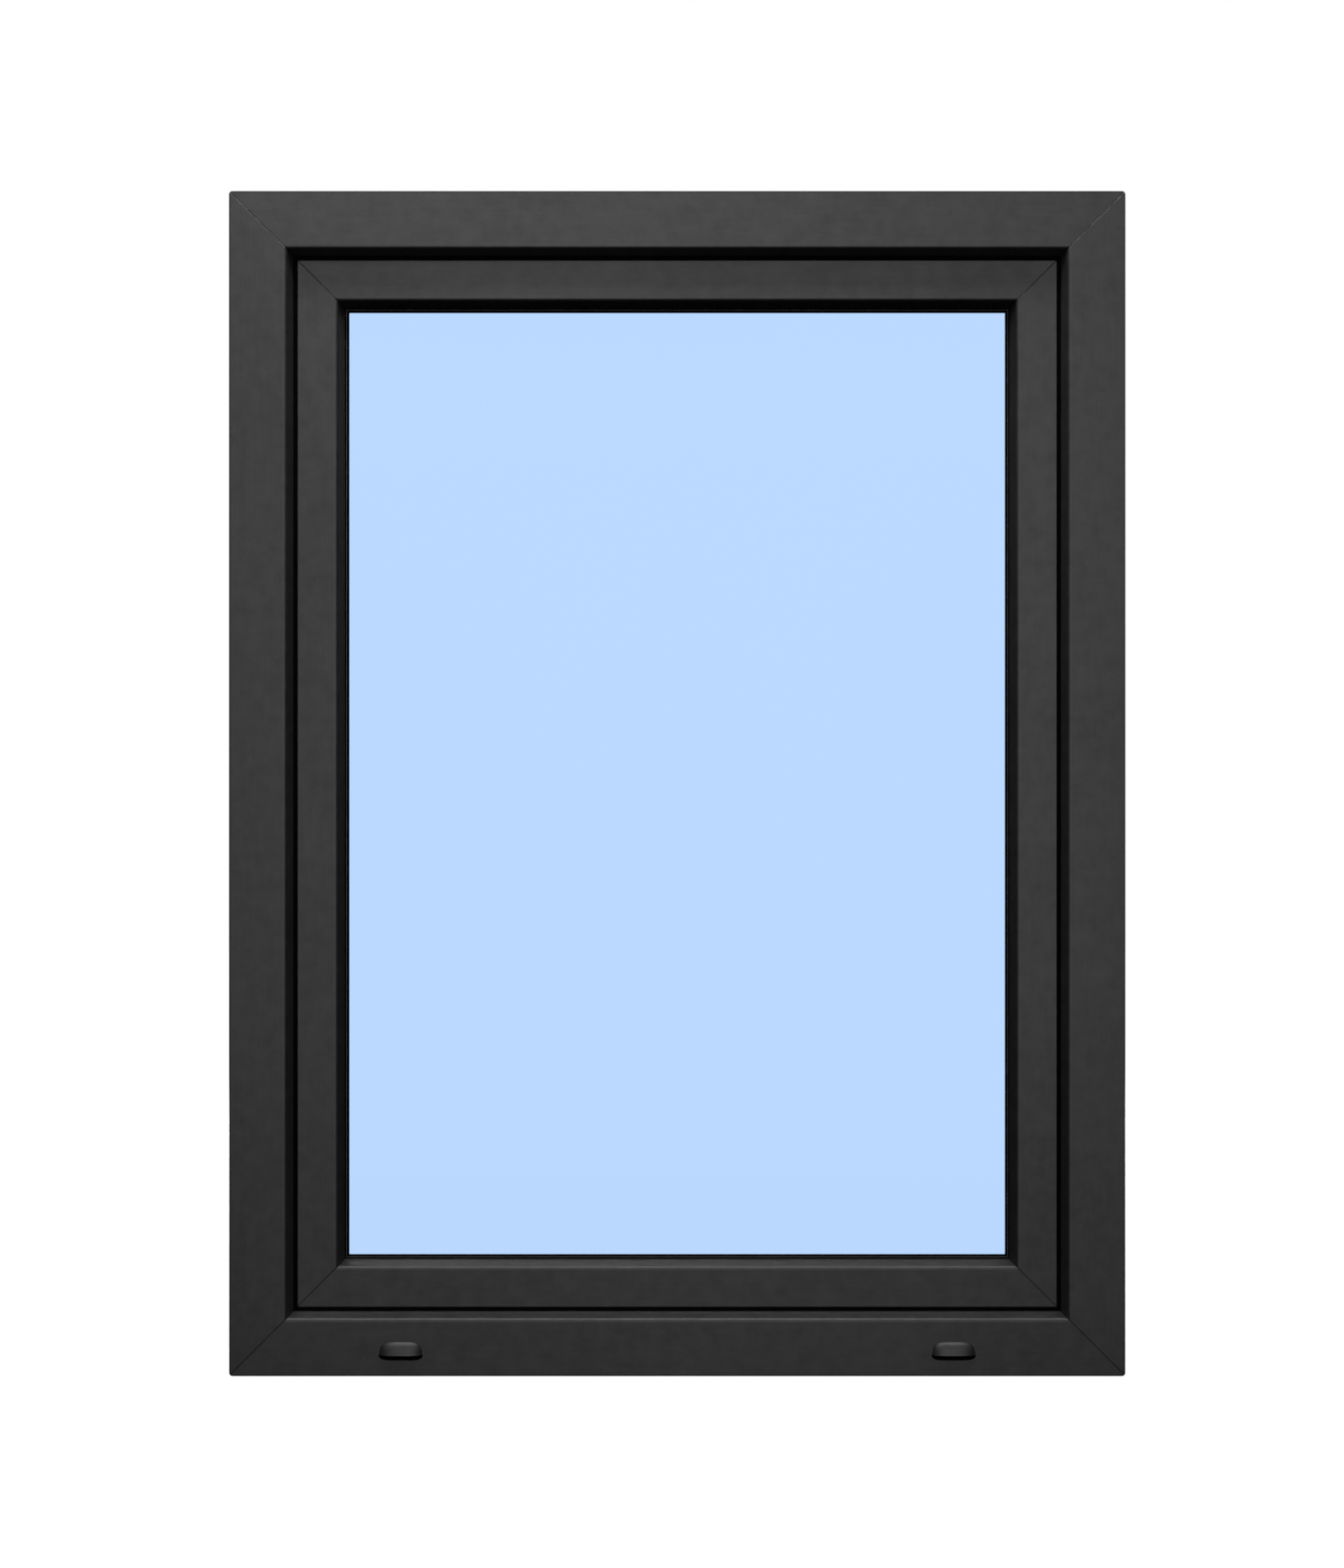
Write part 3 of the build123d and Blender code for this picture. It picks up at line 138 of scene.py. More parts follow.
class Tree:
    """The node tree of one finish."""

    def __init__(self, owner: bpy.types.ID) -> None:
        """Empties the owner's node tree.

        Args:
            owner: the material or world.
        """
        owner.use_nodes = True
        self.tree = owner.node_tree
        self.tree.nodes.clear()

    def node(
        self,
        kind: str,
        settings: Mapping[str, object] | None = None,
        inputs: Mapping[str | int, Input] | None = None,
    ) -> bpy.types.Node:
        """Adds one node.

        Args:
            kind: the node's type.
            settings: its own settings, which are set first.
            inputs: values or links of its sockets.

        Returns:
            The node.
        """
        node = self.tree.nodes.new(kind)
        for name, value in (settings or {}).items():
            setattr(node, name, value)
        for key, value in (inputs or {}).items():
            source = value.socket if isinstance(value, Value) else value
            if isinstance(source, bpy.types.NodeSocket):
                self.tree.links.new(source, node.inputs[key])
            else:
                node.inputs[key].default_value = source
        return node

    def place(self) -> bpy.types.NodeSocket:
        """The point's own coordinates, in metres."""
        return self.node("ShaderNodeTexCoord").outputs["Object"]

    def axes(self) -> tuple[Value, Value, Value]:
        """The point's x, y and z."""
        split = self.node("ShaderNodeSeparateXYZ", None, {0: self.place()})
        return tuple(Value(self, split.outputs[i]) for i in range(3))

    def noise(
        self, scale: float, detail: float = 3.0, stretch: Sequence[float] = (1, 1, 1)
    ) -> Value:
        """Soft random marks about 1 / scale metres across.

        Args:
            scale: marks in a metre.
            detail: how many finer layers are added.
            stretch: share of the scale along each axis; a small share draws marks out that way.

        Returns:
            A value around 0.5.
        """
        mapped = self.node("ShaderNodeMapping", None, {"Vector": self.place(), "Scale": stretch})
        settings = {"noise_dimensions": "3D"}
        inputs = {"Vector": mapped.outputs[0], "Scale": scale, "Detail": detail, "Roughness": 0.6}
        return Value(self, self.node("ShaderNodeTexNoise", settings, inputs).outputs[0])

    def scaled(self, colour: Colour, factor: Value) -> bpy.types.NodeSocket:
        """A colour times a value."""
        inputs = {0: colour, "Scale": factor}
        return self.node("ShaderNodeVectorMath", {"operation": "SCALE"}, inputs).outputs[0]

    def blended(self, factor: Value, low: Input, high: Input) -> bpy.types.NodeSocket:
        """One colour where the factor is 0 and the other where it is 1.

        Args:
            factor: share of the second colour.
            low: the first colour.
            high: the second colour.

        Returns:
            The blend's socket.
        """
        low, high = ((*c, 1.0) if isinstance(c, tuple) else c for c in (low, high))
        node = self.node("ShaderNodeMix", {"data_type": "RGBA"}, {0: factor, 6: low, 7: high})
        return node.outputs[2]

    def bump(self, height: Value, strength: float, distance: float) -> bpy.types.NodeSocket:
        """Surface normals for a relief, distance metres from its lowest to its highest."""
        inputs = {"Strength": strength, "Distance": distance, "Height": height}
        return self.node("ShaderNodeBump", None, inputs).outputs[0]

    def finish(self, **sockets: Input) -> None:
        """Ends the tree in one Principled surface.

        Args:
            sockets: values or links of its sockets, named with _ for a space.
        """
        named = {key.replace("_", " "): value for key, value in sockets.items()}
        for key, value in named.items():
            if isinstance(value, tuple) and len(value) == 3 and "Color" in key:
                named[key] = (*value, 1.0)
        shader = self.node("ShaderNodeBsdfPrincipled", None, named)
        self.node("ShaderNodeOutputMaterial", None, {"Surface": shader.outputs[0]})


# ---- finishes ----------------------------------------------------------------------------------
class Grain(Enum):
    """The way that a member's extrusion marks run, as the share of the noise scale on each axis."""

    UPRIGHT = (1.0, 1.0, 0.06)
    LEVEL = (0.06, 1.0, 1.0)
    ROUND = (1.0, 1.0, 1.0)


@dataclass(frozen=True)
class Finish:
    """A named finish. Each kind paints its own tree."""

    name: str

    def paint(self, tree: Tree) -> None:
        """Fills the tree."""
        raise NotImplementedError

    def material(self) -> bpy.types.Material:
        """The finish's material, made once.

        Returns:
            The material.
        """
        name = "look_" + self.name
        found = bpy.data.materials.get(name)
        if found is None:
            found = bpy.data.materials.new(name)
            self.paint(Tree(found))
        return found


@dataclass(frozen=True)
class Extruded(Finish):
    """Anthracite PVC-U off the die: mottled, with faint drawn marks, and painted shade on the outer
    arris.

    Clouds, patches, streaks and specks are counted in marks per metre; other sizes are metres.
    """

    tone: Colour = (0.0120, 0.0120, 0.0122)
    grain: Grain = Grain.UPRIGHT
    half_width: float = 0.45
    height: float = 1.19
    gloss: float = 0.96
    roughness: float = 0.46
    # arris and flank bound the painted shade: a dark rim round the window's outer edge on the front
    # face.
    arris: tuple[float, float] = (-0.0004, 0.0026)
    front: float = -0.035
    flank: tuple[float, float] = (0.001, 0.004)
    clouds: float = 58.0
    patches: float = 7.0
    streaks: float = 420.0
    specks: float = 2600.0
    relief: float = 0.00012

    def paint(self, tree: Tree) -> None:
        """Clouds, patches and drawn streaks vary tone and gloss, over a fine relief; painted shade
        darkens the outer arris.

        Args:
            tree: the material's tree.
        """
        cloud = tree.noise(self.clouds, 5.0)
        patch = tree.noise(self.patches, 2.0)
        streak = tree.noise(self.streaks, 2.0, self.grain.value)
        speck = tree.noise(self.specks, 1.0)
        x, y, z = tree.axes()
        # Painted shade: near the window's outer edge on the front face the tone is halved and the
        # coat gloss nearly goes, so the rounded edge reads as a dark rim.
        inward = (self.half_width - abs(x)).least(z).least(self.height - z)
        arris = inward.ramp(*self.arris).most((y - self.front).ramp(*self.flank))
        mottle = 0.30 + 0.80 * cloud + 0.35 * patch + 0.25 * streak
        relief = 0.5 * speck + 0.4 * streak + 0.6 * cloud
        tree.finish(
            Base_Color=tree.scaled(self.tone, (0.5 + 0.5 * arris) * mottle),
            Roughness=self.roughness - 0.05 + 0.09 * cloud + 0.05 * speck,
            Specular_IOR_Level=0.30,
            Coat_Weight=self.gloss * (0.04 + 0.96 * arris) * mottle,
            Coat_Roughness=self.roughness,
            Normal=tree.bump(relief, 0.22, self.relief),
        )


@dataclass(frozen=True)
class Rubber(Finish):
    """Black gasket rubber, dusty in its pores, with an optional paler band at one depth, painted on
    the rib as a highlight.
    """

    tone: float = 0.0007
    rib: float = 0.0
    # The band's paler tone is a painted highlight on the seal's raised rib.
    highlight_tone: float = 0.10
    half_width: float = 0.45
    height: float = 1.19
    highlight_fade: tuple[float, float] = (0.00022, 0.00052)
    pores: float = 1800.0
    dust: float = 90.0

    def paint(self, tree: Tree) -> None:
        """Fine pores vary gloss and relief; the painted highlight is a narrow paler band a set
        depth in from the edge.

        Args:
            tree: the material's tree.
        """
        pore = tree.noise(self.pores, 3.0)
        dust = tree.noise(self.dust, 4.0)
        shade = self.tone * (0.6 + 0.8 * dust)
        base = tree.scaled((1.0, 1.0, 1.0), shade)
        # Painted highlight: a paler band on the rib stands in for the light that its rounded top
        # catches.
        if self.rib:
            x, _, z = tree.axes()
            inward = (self.half_width - abs(x)).least(z).least(self.height - z)
            band = 1.0 - abs(inward - self.rib).ramp(*self.highlight_fade)
            pale = tree.scaled((1.0, 1.0, 1.0), self.highlight_tone * (0.7 + 0.6 * dust))
            base = tree.blended(band, base, pale)
        tree.finish(
            Base_Color=base,
            Roughness=0.62 + 0.2 * pore,
            Specular_IOR_Level=0.03,
            Normal=tree.bump(pore, 0.35, 0.00015),
        )


@dataclass(frozen=True)
class Metal(Finish):
    """Bare or plated metal with drawn, rolled or cast marks."""

    tone: Colour = (0.56, 0.57, 0.58)
    grain: Grain = Grain.ROUND
    roughness: float = 0.30
    mark: float = 900.0
    spangle: float = 0.0
    stains: float = 26.0
    crystals: float = 160.0

    def paint(self, tree: Tree) -> None:
        """Drawn marks set gloss and relief, and spangle adds the flat crystals of a zinc coat.

        Args:
            tree: the material's tree.
        """
        line = tree.noise(self.mark, 3.0, self.grain.value)
        stain = tree.noise(self.stains, 4.0)
        tone = 0.74 + 0.22 * stain + 0.22 * line
        if self.spangle:
            inputs = {"Vector": tree.place(), "Scale": self.crystals}
            cell = tree.node("ShaderNodeTexVoronoi", None, inputs)
            tone = tone * (1.0 - 0.5 * self.spangle + self.spangle * Value(tree, cell.outputs[0]))
        tree.finish(
            Base_Color=tree.scaled(self.tone, tone),
            Metallic=1.0,
            Roughness=self.roughness - 0.06 + 0.16 * line + 0.10 * stain,
            Normal=tree.bump(line, 0.18, 0.00006),
        )


@dataclass(frozen=True)
class Coated(Finish):
    """Powder coat or moulded plastic: a fine orange peel, rubbed a little paler in places."""

    tone: Colour = (0.030, 0.030, 0.031)
    roughness: float = 0.38
    peel: float = 1500.0
    gloss: float = 0.45
    rubs: float = 34.0

    def paint(self, tree: Tree) -> None:
        """Peel sets the relief; broad wear lifts the tone and smooths the gloss.

        Args:
            tree: the material's tree.
        """
        peel = tree.noise(self.peel, 2.0)
        wear = tree.noise(self.rubs, 4.0)
        worn = wear.ramp(0.45, 0.75)
        tree.finish(
            Base_Color=tree.scaled(self.tone, 0.82 + 0.22 * wear + 0.16 * worn + 0.10 * peel),
            Roughness=self.roughness + 0.08 * peel - 0.07 * worn,
            Specular_IOR_Level=self.gloss,
            Normal=tree.bump(peel, 0.20, 0.00010),
        )


@dataclass(frozen=True)
class BlueGlass(Finish):
    """Solar-control glass that shows an even pale sky blue from either side; the blue is painted
    light, a glow of the panes.
    """

    tone: Colour = (0.4910, 0.6860, 0.9910)
    waves: float = 3.2

    def paint(self, tree: Tree) -> None:
        """The blue is painted light, an even glow in place of the sky seen in and through the
        glass; the roller waves of float glass bend its gloss and vary the glow a little.

        Args:
            tree: the material's tree.
        """
        wave = tree.noise(self.waves, 1.0, (1.0, 1.0, 0.35))
        tree.finish(
            Base_Color=(0.004, 0.005, 0.007),
            Roughness=0.035 + 0.02 * wave,
            Specular_IOR_Level=0.03,
            # Painted light: the panes glow pale blue though they are no lamp.
            Emission_Color=tree.scaled(self.tone, 0.996 + 0.008 * wave),
            Emission_Strength=1.0,
            Normal=tree.bump(wave, 0.04, 0.0004),
        )


# ---- mesh making -------------------------------------------------------------------------------
def unit(vectors: Array) -> Array:
    """Each vector divided by its length."""
    return vectors / np.maximum(np.linalg.norm(vectors, axis=-1, keepdims=True), 1e-12)


@dataclass(frozen=True)
class Outline:
    """A closed section whose corners are (u, y, rounding radius), in millimetres."""

    corners: tuple[tuple[float, float, float], ...]
    steps: int = 6
    guard: float = 0.7

    def points(self) -> Array:
        """The section's points.

        Each corner becomes an arc between its two tangent points, which stand radius / tan(half the
        corner's angle) away along either side. An arc point is the centre plus the spherical blend
        of the two radii. A guard point on each side, just past the arc, keeps the flats flat.

        Returns:
            Points in millimetres, one row each.
        """
        data = np.array(self.corners, float)
        spot, radius = data[:, :2], data[:, 2:3]
        back = unit(np.roll(spot, 1, axis=0) - spot)
        ahead = unit(np.roll(spot, -1, axis=0) - spot)
        cosine = np.clip((back * ahead).sum(1, keepdims=True), -1, 1)
        half = np.arccos(cosine) / 2
        reach = np.where(radius > 0, radius / np.tan(np.maximum(half, 1e-6)), 0.0)
        start, end = spot + back * reach, spot + ahead * reach
        centre = spot + unit(back + ahead) * radius / np.sin(np.maximum(half, 1e-6))
        sweep = np.maximum(pi - 2 * half, 1e-6)[:, None]
        share = np.linspace(0, 1, self.steps + 1)[None, :, None]
        first, last = (start - centre)[:, None], (end - centre)[:, None]
        blend = (np.sin((1 - share) * sweep) * first + np.sin(share * sweep) * last) / np.sin(sweep)
        arc = np.where(radius[:, None] > 0, centre[:, None] + blend, spot[:, None])
        guard = np.where(radius > 0, self.guard, 0.0)
        before, after = (start + back * guard)[:, None], (end + ahead * guard)[:, None]
        chain = np.concatenate([before, arc, after], axis=1).reshape(-1, 2)
        apart = np.linalg.norm(chain - np.roll(chain, 1, axis=0), axis=1) > 1e-5
        return chain[apart]


def outward_normals(loop: Array) -> Array:
    """Unit normals of a closed loop of 2-D points, which point out of it.

    Each is the mean of its two sides' normals; a side's normal is the side turned a quarter turn
    away from the loop's area, whose sign the shoelace sum gives.

    Args:
        loop: the loop's points, one row each.

    Returns:
        One normal for each point.
    """
    side = unit(np.roll(loop, -1, axis=0) - loop)
    normal = np.stack([side[:, 1], -side[:, 0]], axis=1)
    following = np.roll(loop, -1, axis=0)
    area = (loop[:, 0] * following[:, 1] - following[:, 0] * loop[:, 1]).sum()
    return unit(normal + np.roll(normal, 1, axis=0)) * np.sign(area)


def rounded_rectangle(half: tuple[float, float], radius: float, steps: int = 8) -> Array:
    """A rectangle with round corners: each corner's centre plus radius times the unit circle.

    Args:
        half: half its width and half its height.
        radius: the corners' radius.
        steps: facets in each corner.

    Returns:
        The loop's points, one row each.
    """
    angle = np.linspace(0, pi / 2, steps + 1)[None, :] + np.arange(4)[:, None] * pi / 2
    sign = np.array([(1, 1), (-1, 1), (-1, -1), (1, -1)], float)[:, None, :]
    centre = sign * (np.array(half) - radius)
    return (centre + radius * np.stack([np.cos(angle), np.sin(angle)], axis=-1)).reshape(-1, 2)


def grid_faces(rows: int, columns: int, closed: bool) -> list[list[int]]:
    """Quads between neighbouring rows and columns; columns always close, rows if asked.

    Args:
        rows: how many loops.
        columns: points in a loop.
        closed: the last loop joins the first.

    Returns:
        Four point numbers for each quad.
    """
    row, column = np.meshgrid(
        np.arange(rows if closed else rows - 1), np.arange(columns), indexing="ij"
    )
    following, beside = (row + 1) % rows, (column + 1) % columns
    corners = [row * columns + column, row * columns + beside]
    corners += [following * columns + beside, following * columns + column]
    return np.stack(corners, axis=-1).reshape(-1, 4).tolist()


def shell(name: str, grid: Array, closed: bool = False) -> bpy.types.Object:
    """A solid skinned over loops of points.

    Args:
        name: the object's name.
        grid: (loops, points in a loop, 3), in millimetres.
        closed: the last loop joins the first; otherwise a flat face closes each end.

    Returns:
        The object, in metres, with its faces outward.
    """
    rows, columns = grid.shape[:2]
    faces = grid_faces(rows, columns, closed)
    if not closed:
        faces += [list(range(columns)), list(range((rows - 1) * columns, rows * columns))]
    mesh = bpy.data.meshes.new(name)
    mesh.from_pydata((grid.reshape(-1, 3) * MM).tolist(), [], faces)
    turned = bmesh.new()
    turned.from_mesh(mesh)
    bmesh.ops.recalc_face_normals(turned, faces=turned.faces)
    turned.to_mesh(mesh)
    turned.free()
    piece = bpy.data.objects.new(name, mesh)
    bpy.context.scene.collection.objects.link(piece)
    return piece


def box_tool(x: Sequence[float], y: Sequence[float], z: Sequence[float]) -> bpy.types.Object:
    """A box to cut with, between two values on each axis, in millimetres."""
    loop = np.array([(x[0], z[0]), (x[1], z[0]), (x[1], z[1]), (x[0], z[1])], float)
    return prism_tool(loop, y)


def prism_tool(loop: Array, y: Sequence[float]) -> bpy.types.Object:
    """A prism to cut with: a loop in (x, z) carried from one y to the other."""
    rows = [np.stack([loop[:, 0], np.full(len(loop), v), loop[:, 1]], axis=1) for v in y]
    return shell("tool", np.stack(rows))


def rod_tool(start: Sequence[float], end: Sequence[float], radius: float) -> bpy.types.Object:
    """A round bar to cut with: a circle square to the line, carried from start to end.

    Args:
        start: the line's start.
        end: its end.
        radius: the circle's radius.

    Returns:
        The bar.
    """
    angle = np.linspace(0, 2 * pi, 40, endpoint=False)
    line = unit(np.array(end, float) - np.array(start, float))
    across = unit(np.cross(line, (0.31, 0.52, 0.79)))
    other = np.cross(line, across)
    circle = radius * (np.cos(angle)[:, None] * across + np.sin(angle)[:, None] * other)
    return shell("tool", np.stack([circle + np.array(start), circle + np.array(end)]))


def settled(piece: bpy.types.Object) -> None:
    """Replaces a piece's mesh with the one that its modifiers give, and clears them.

    Args:
        piece: the piece.
    """
    graph = bpy.context.evaluated_depsgraph_get()
    mesh = bpy.data.meshes.new_from_object(piece.evaluated_get(graph))
    piece.modifiers.clear()
    piece.data = mesh


def carve(piece: bpy.types.Object, tools: Sequence[bpy.types.Object]) -> None:
    """Cuts every tool out of a piece and throws the tools away.

    Args:
        piece: the piece.
        tools: the cutters.
    """
    for tool in tools:
        modifier = piece.modifiers.new("cut", "BOOLEAN")
        modifier.operation = "DIFFERENCE"
        modifier.solver = "EXACT"
        modifier.object = tool
    settled(piece)
    for tool in tools:
        bpy.data.objects.remove(tool)


def smooth(piece: bpy.types.Object, sharp: float = 35.0) -> None:
    """Shades a piece smooth but for edges sharper than an angle in degrees.

    Args:
        piece: the piece.
        sharp: the angle.
    """
    mesh = piece.data
    mesh.polygons.foreach_set("use_smooth", np.ones(len(mesh.polygons), bool))
    mesh.set_sharp_from_angle(angle=radians(sharp))
    mesh.update()


def dress(
    piece: bpy.types.Object, body: str, finish: Finish, replaces: Sequence[str] = ()
) -> None:
    """Finishes a new piece.

    Args:
        piece: the piece.
        body: the CAD body that it rides on.
        finish: its finish.
        replaces: the CAD nodes that it stands for.
    """
    piece.data.materials.clear()
    piece.data.materials.append(finish.material())
    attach(piece, body)
    if replaces:
        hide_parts(*replaces)
    LOG.info("%s: %d faces on %s", piece.name, len(piece.data.polygons), body)


def paint_node(node: str, finish: Finish) -> None:
    """Gives a carried-over CAD node its finish, on the object's own slots.

    Args:
        node: the CAD node.
        finish: its finish.
    """
    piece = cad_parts[node]
    if not piece.material_slots:
        piece.data.materials.append(None)
    for place in piece.material_slots:
        place.link = "OBJECT"
        place.material = finish.material()
    LOG.info("%s: CAD node in %s", node, finish.name)


def softened(node: str, radius: float) -> bpy.types.Object:
    """A copy of a CAD node whose doubles are merged and whose sharp edges are slightly rounded.

    Args:
        node: the CAD node.
        radius: width of the rounding in millimetres.

    Returns:
        The copy, smooth-shaded.
    """
    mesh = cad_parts[node].data.copy()
    work = bmesh.new()
    work.from_mesh(mesh)
    bmesh.ops.remove_doubles(work, verts=work.verts, dist=1e-6)
    bmesh.ops.dissolve_limit(work, angle_limit=radians(1.0), verts=work.verts, edges=work.edges)
    work.to_mesh(mesh)
    work.free()
    piece = bpy.data.objects.new(node + "_soft", mesh)
    bpy.context.scene.collection.objects.link(piece)
    bevel = piece.modifiers.new("arris", "BEVEL")
    bevel.limit_method = "ANGLE"
    bevel.angle_limit = radians(40.0)
    bevel.width = radius * MM
    bevel.segments = 2
    bevel.use_clamp_overlap = True
    settled(piece)
    smooth(piece, 32.0)
    return piece


# ---- the window's own ruler --------------------------------------------------------------------
@dataclass(frozen=True)
class Ruler:
    """The window's outline in millimetres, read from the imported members."""

    width: float
    height: float

    @classmethod
    def measured(cls) -> "Ruler":
        """Width between the jambs' outer faces, and height of the head."""
        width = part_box("frame_jamb_lock")[1].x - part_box("frame_jamb_hinge")[0].x
        return cls(width / MM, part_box("frame_head")[1].z / MM)


RULER = Ruler.measured()


class Side(Enum):
    """The four sides of the window, and where a point of each one's section lies."""

    HINGE = "hinge"
    LOCK = "lock"
    SILL = "sill"
    HEAD = "head"

    @property
    def upright(self) -> bool:
        """Whether the member stands."""
        return self in (Side.HINGE, Side.LOCK)

    @property
    def length(self) -> float:
        """Length of the side's outer edge."""
        return RULER.height if self.upright else RULER.width

    def place(self, depth: Array, y: Array, along: Array) -> Array:
        """Points at a depth in from the outer edge and a distance along it.

        An upright member's x is the edge's x plus or minus the depth and its z is the distance
        along; a level member swaps the two.

        Args:
            depth: distances in from the outer edge.
            y: the points' own y.
            along: distances along the edge.

        Returns:
            Points in (x, y, z), in millimetres.
        """
        half = RULER.width / 2
        if self is Side.HINGE:
            parts = (depth - half, y, along)
        elif self is Side.LOCK:
            parts = (half - depth, y, along)
        elif self is Side.SILL:
            parts = (along - half, y, depth)
        else:
            parts = (along - half, y, RULER.height - depth)
        return np.stack(np.broadcast_arrays(*parts), axis=-1)


@dataclass(frozen=True)
class Weld:
    """The shallow groove along a mitred corner: how deep it is at each distance from the joint."""

    distances: tuple[float, ...] = (0.0, 0.35, 0.7, 1.5, 3.0, 14.0)
    depths: tuple[float, ...] = (0.24, 0.08, 0.0, 0.0, 0.0, 0.0)


def rounded_corner(depth: Array, along: Array, edge: float, radius: float) -> tuple[Array, Array]:
    """Rounds a member's end where two outer edges meet.

    Inside the corner's square, a point's offsets (p, q) from the square's inner corner are scaled
    by the larger of the two over their length, which turns the square into a quarter circle.

    Args:
        depth: distances in from one outer edge.
        along: distances in from the other.
        edge: depth of the outline whose corner is rounded.
        radius: the corner's radius.

    Returns:
        The new distances from both edges.
    """
    p, q = edge + radius - depth, edge + radius - along
    inside = (p > 0) & (q > 0)
    scale = np.where(inside, np.maximum(p, q) / np.maximum(np.hypot(p, q), 1e-9), 1.0)
    return (
        np.where(inside, edge + radius - p * scale, depth),
        np.where(inside, edge + radius - q * scale, along),
    )


def member(
    name: str, section: Outline, side: Side, weld: Weld, edge: float = 0.0, radius: float = 0.0
) -> bpy.types.Object:
    """A mitred member: its section carried along one side.

    At a distance d from the joint a section point lies at (u + d) along the side, so that the end
    loops lie in the mitre plane. Near the joint the loop shrinks along its normals by the weld's
    depth.

    Args:
        name: the object's name.
        section: the section in (u, y).
        side: the side of the window.
        weld: the groove at the joint.
        edge: depth of the outline whose corner is rounded.
        radius: that corner's radius.

    Returns:
        The member.
    """
    loop = section.points()
    normal = outward_normals(loop)
    distance = np.array(weld.distances)[:, None]
    shrunk = loop[None] - np.array(weld.depths)[:, None, None] * normal[None]
    depth, y = shrunk[..., 0], shrunk[..., 1]
    along = depth + distance
    if radius:
        depth, along = rounded_corner(depth, along, edge, radius)
    near = side.place(depth, y, along)
    far = side.place(depth, y, side.length - along)[::-1]
    return shell(name, np.concatenate([near, far]))


def gasket_ring(
    name: str, section: Outline, inner_round: float, steps: int = 5
) -> bpy.types.Object:
    """A gasket that runs round all four sides.

    The section's points keep their depth from the outer edge. Corner k's centre lies inner_round
    past the deepest point, and a point goes round it on a radius of inner_round plus how much
    shallower it is than the deepest.

    Args:
        name: the object's name.
        section: the section in (u, y).
        inner_round: radius of the innermost corner.
        steps: facets in each corner.

    Returns:
        The ring.
    """
    loop = section.points()
    deepest = loop[:, 0].max()
    half = np.array([RULER.width / 2, RULER.height / 2]) - deepest - inner_round
    angle = (np.linspace(0, pi / 2, steps + 1)[None, :] + np.arange(4)[:, None] * pi / 2).ravel()
    sign = np.repeat(np.array([(1, 1), (-1, 1), (-1, -1), (1, -1)], float), steps + 1, axis=0)
    radius = inner_round + deepest - loop[:, 0]
    x = sign[:, :1] * half[0] + np.cos(angle)[:, None] * radius
    z = sign[:, 1:] * half[1] + np.sin(angle)[:, None] * radius + RULER.height / 2
    y = np.broadcast_to(loop[:, 1], x.shape)
    return shell(name, np.stack([x, y, z], axis=-1), closed=True)


@dataclass
class Members:
    """Four mitred members of one section, whose nodes are in the order of the sides."""

    nodes: tuple[str, ...] = ()
    suffix: str = "_profile"
    body: str = "frame"
    slot: str = "frame_pvc"
    weld: Weld = Weld()
    edge: float = 0.0
    corner: float = 0.0

    def section(self) -> Outline:
        """The members' section."""
        raise NotImplementedError

    def tools(self, side: Side) -> list[bpy.types.Object]:
        """The cutters for one side's member: none, unless the kind of member has some."""
        return []

    def build(self, finishes: Mapping[Side, Finish]) -> None:
        """Makes, cuts and dresses the four members.

        Args:
            finishes: each side's finish.
        """
        for side, node in zip(Side, self.nodes):
            name, section = node + self.suffix, self.section()
            piece = member(name, section, side, self.weld, self.edge, self.corner)
            tools = self.tools(side)
            if tools:
                carve(piece, tools)
            smooth(piece)
            dress(piece, self.body, finishes[side], [node])


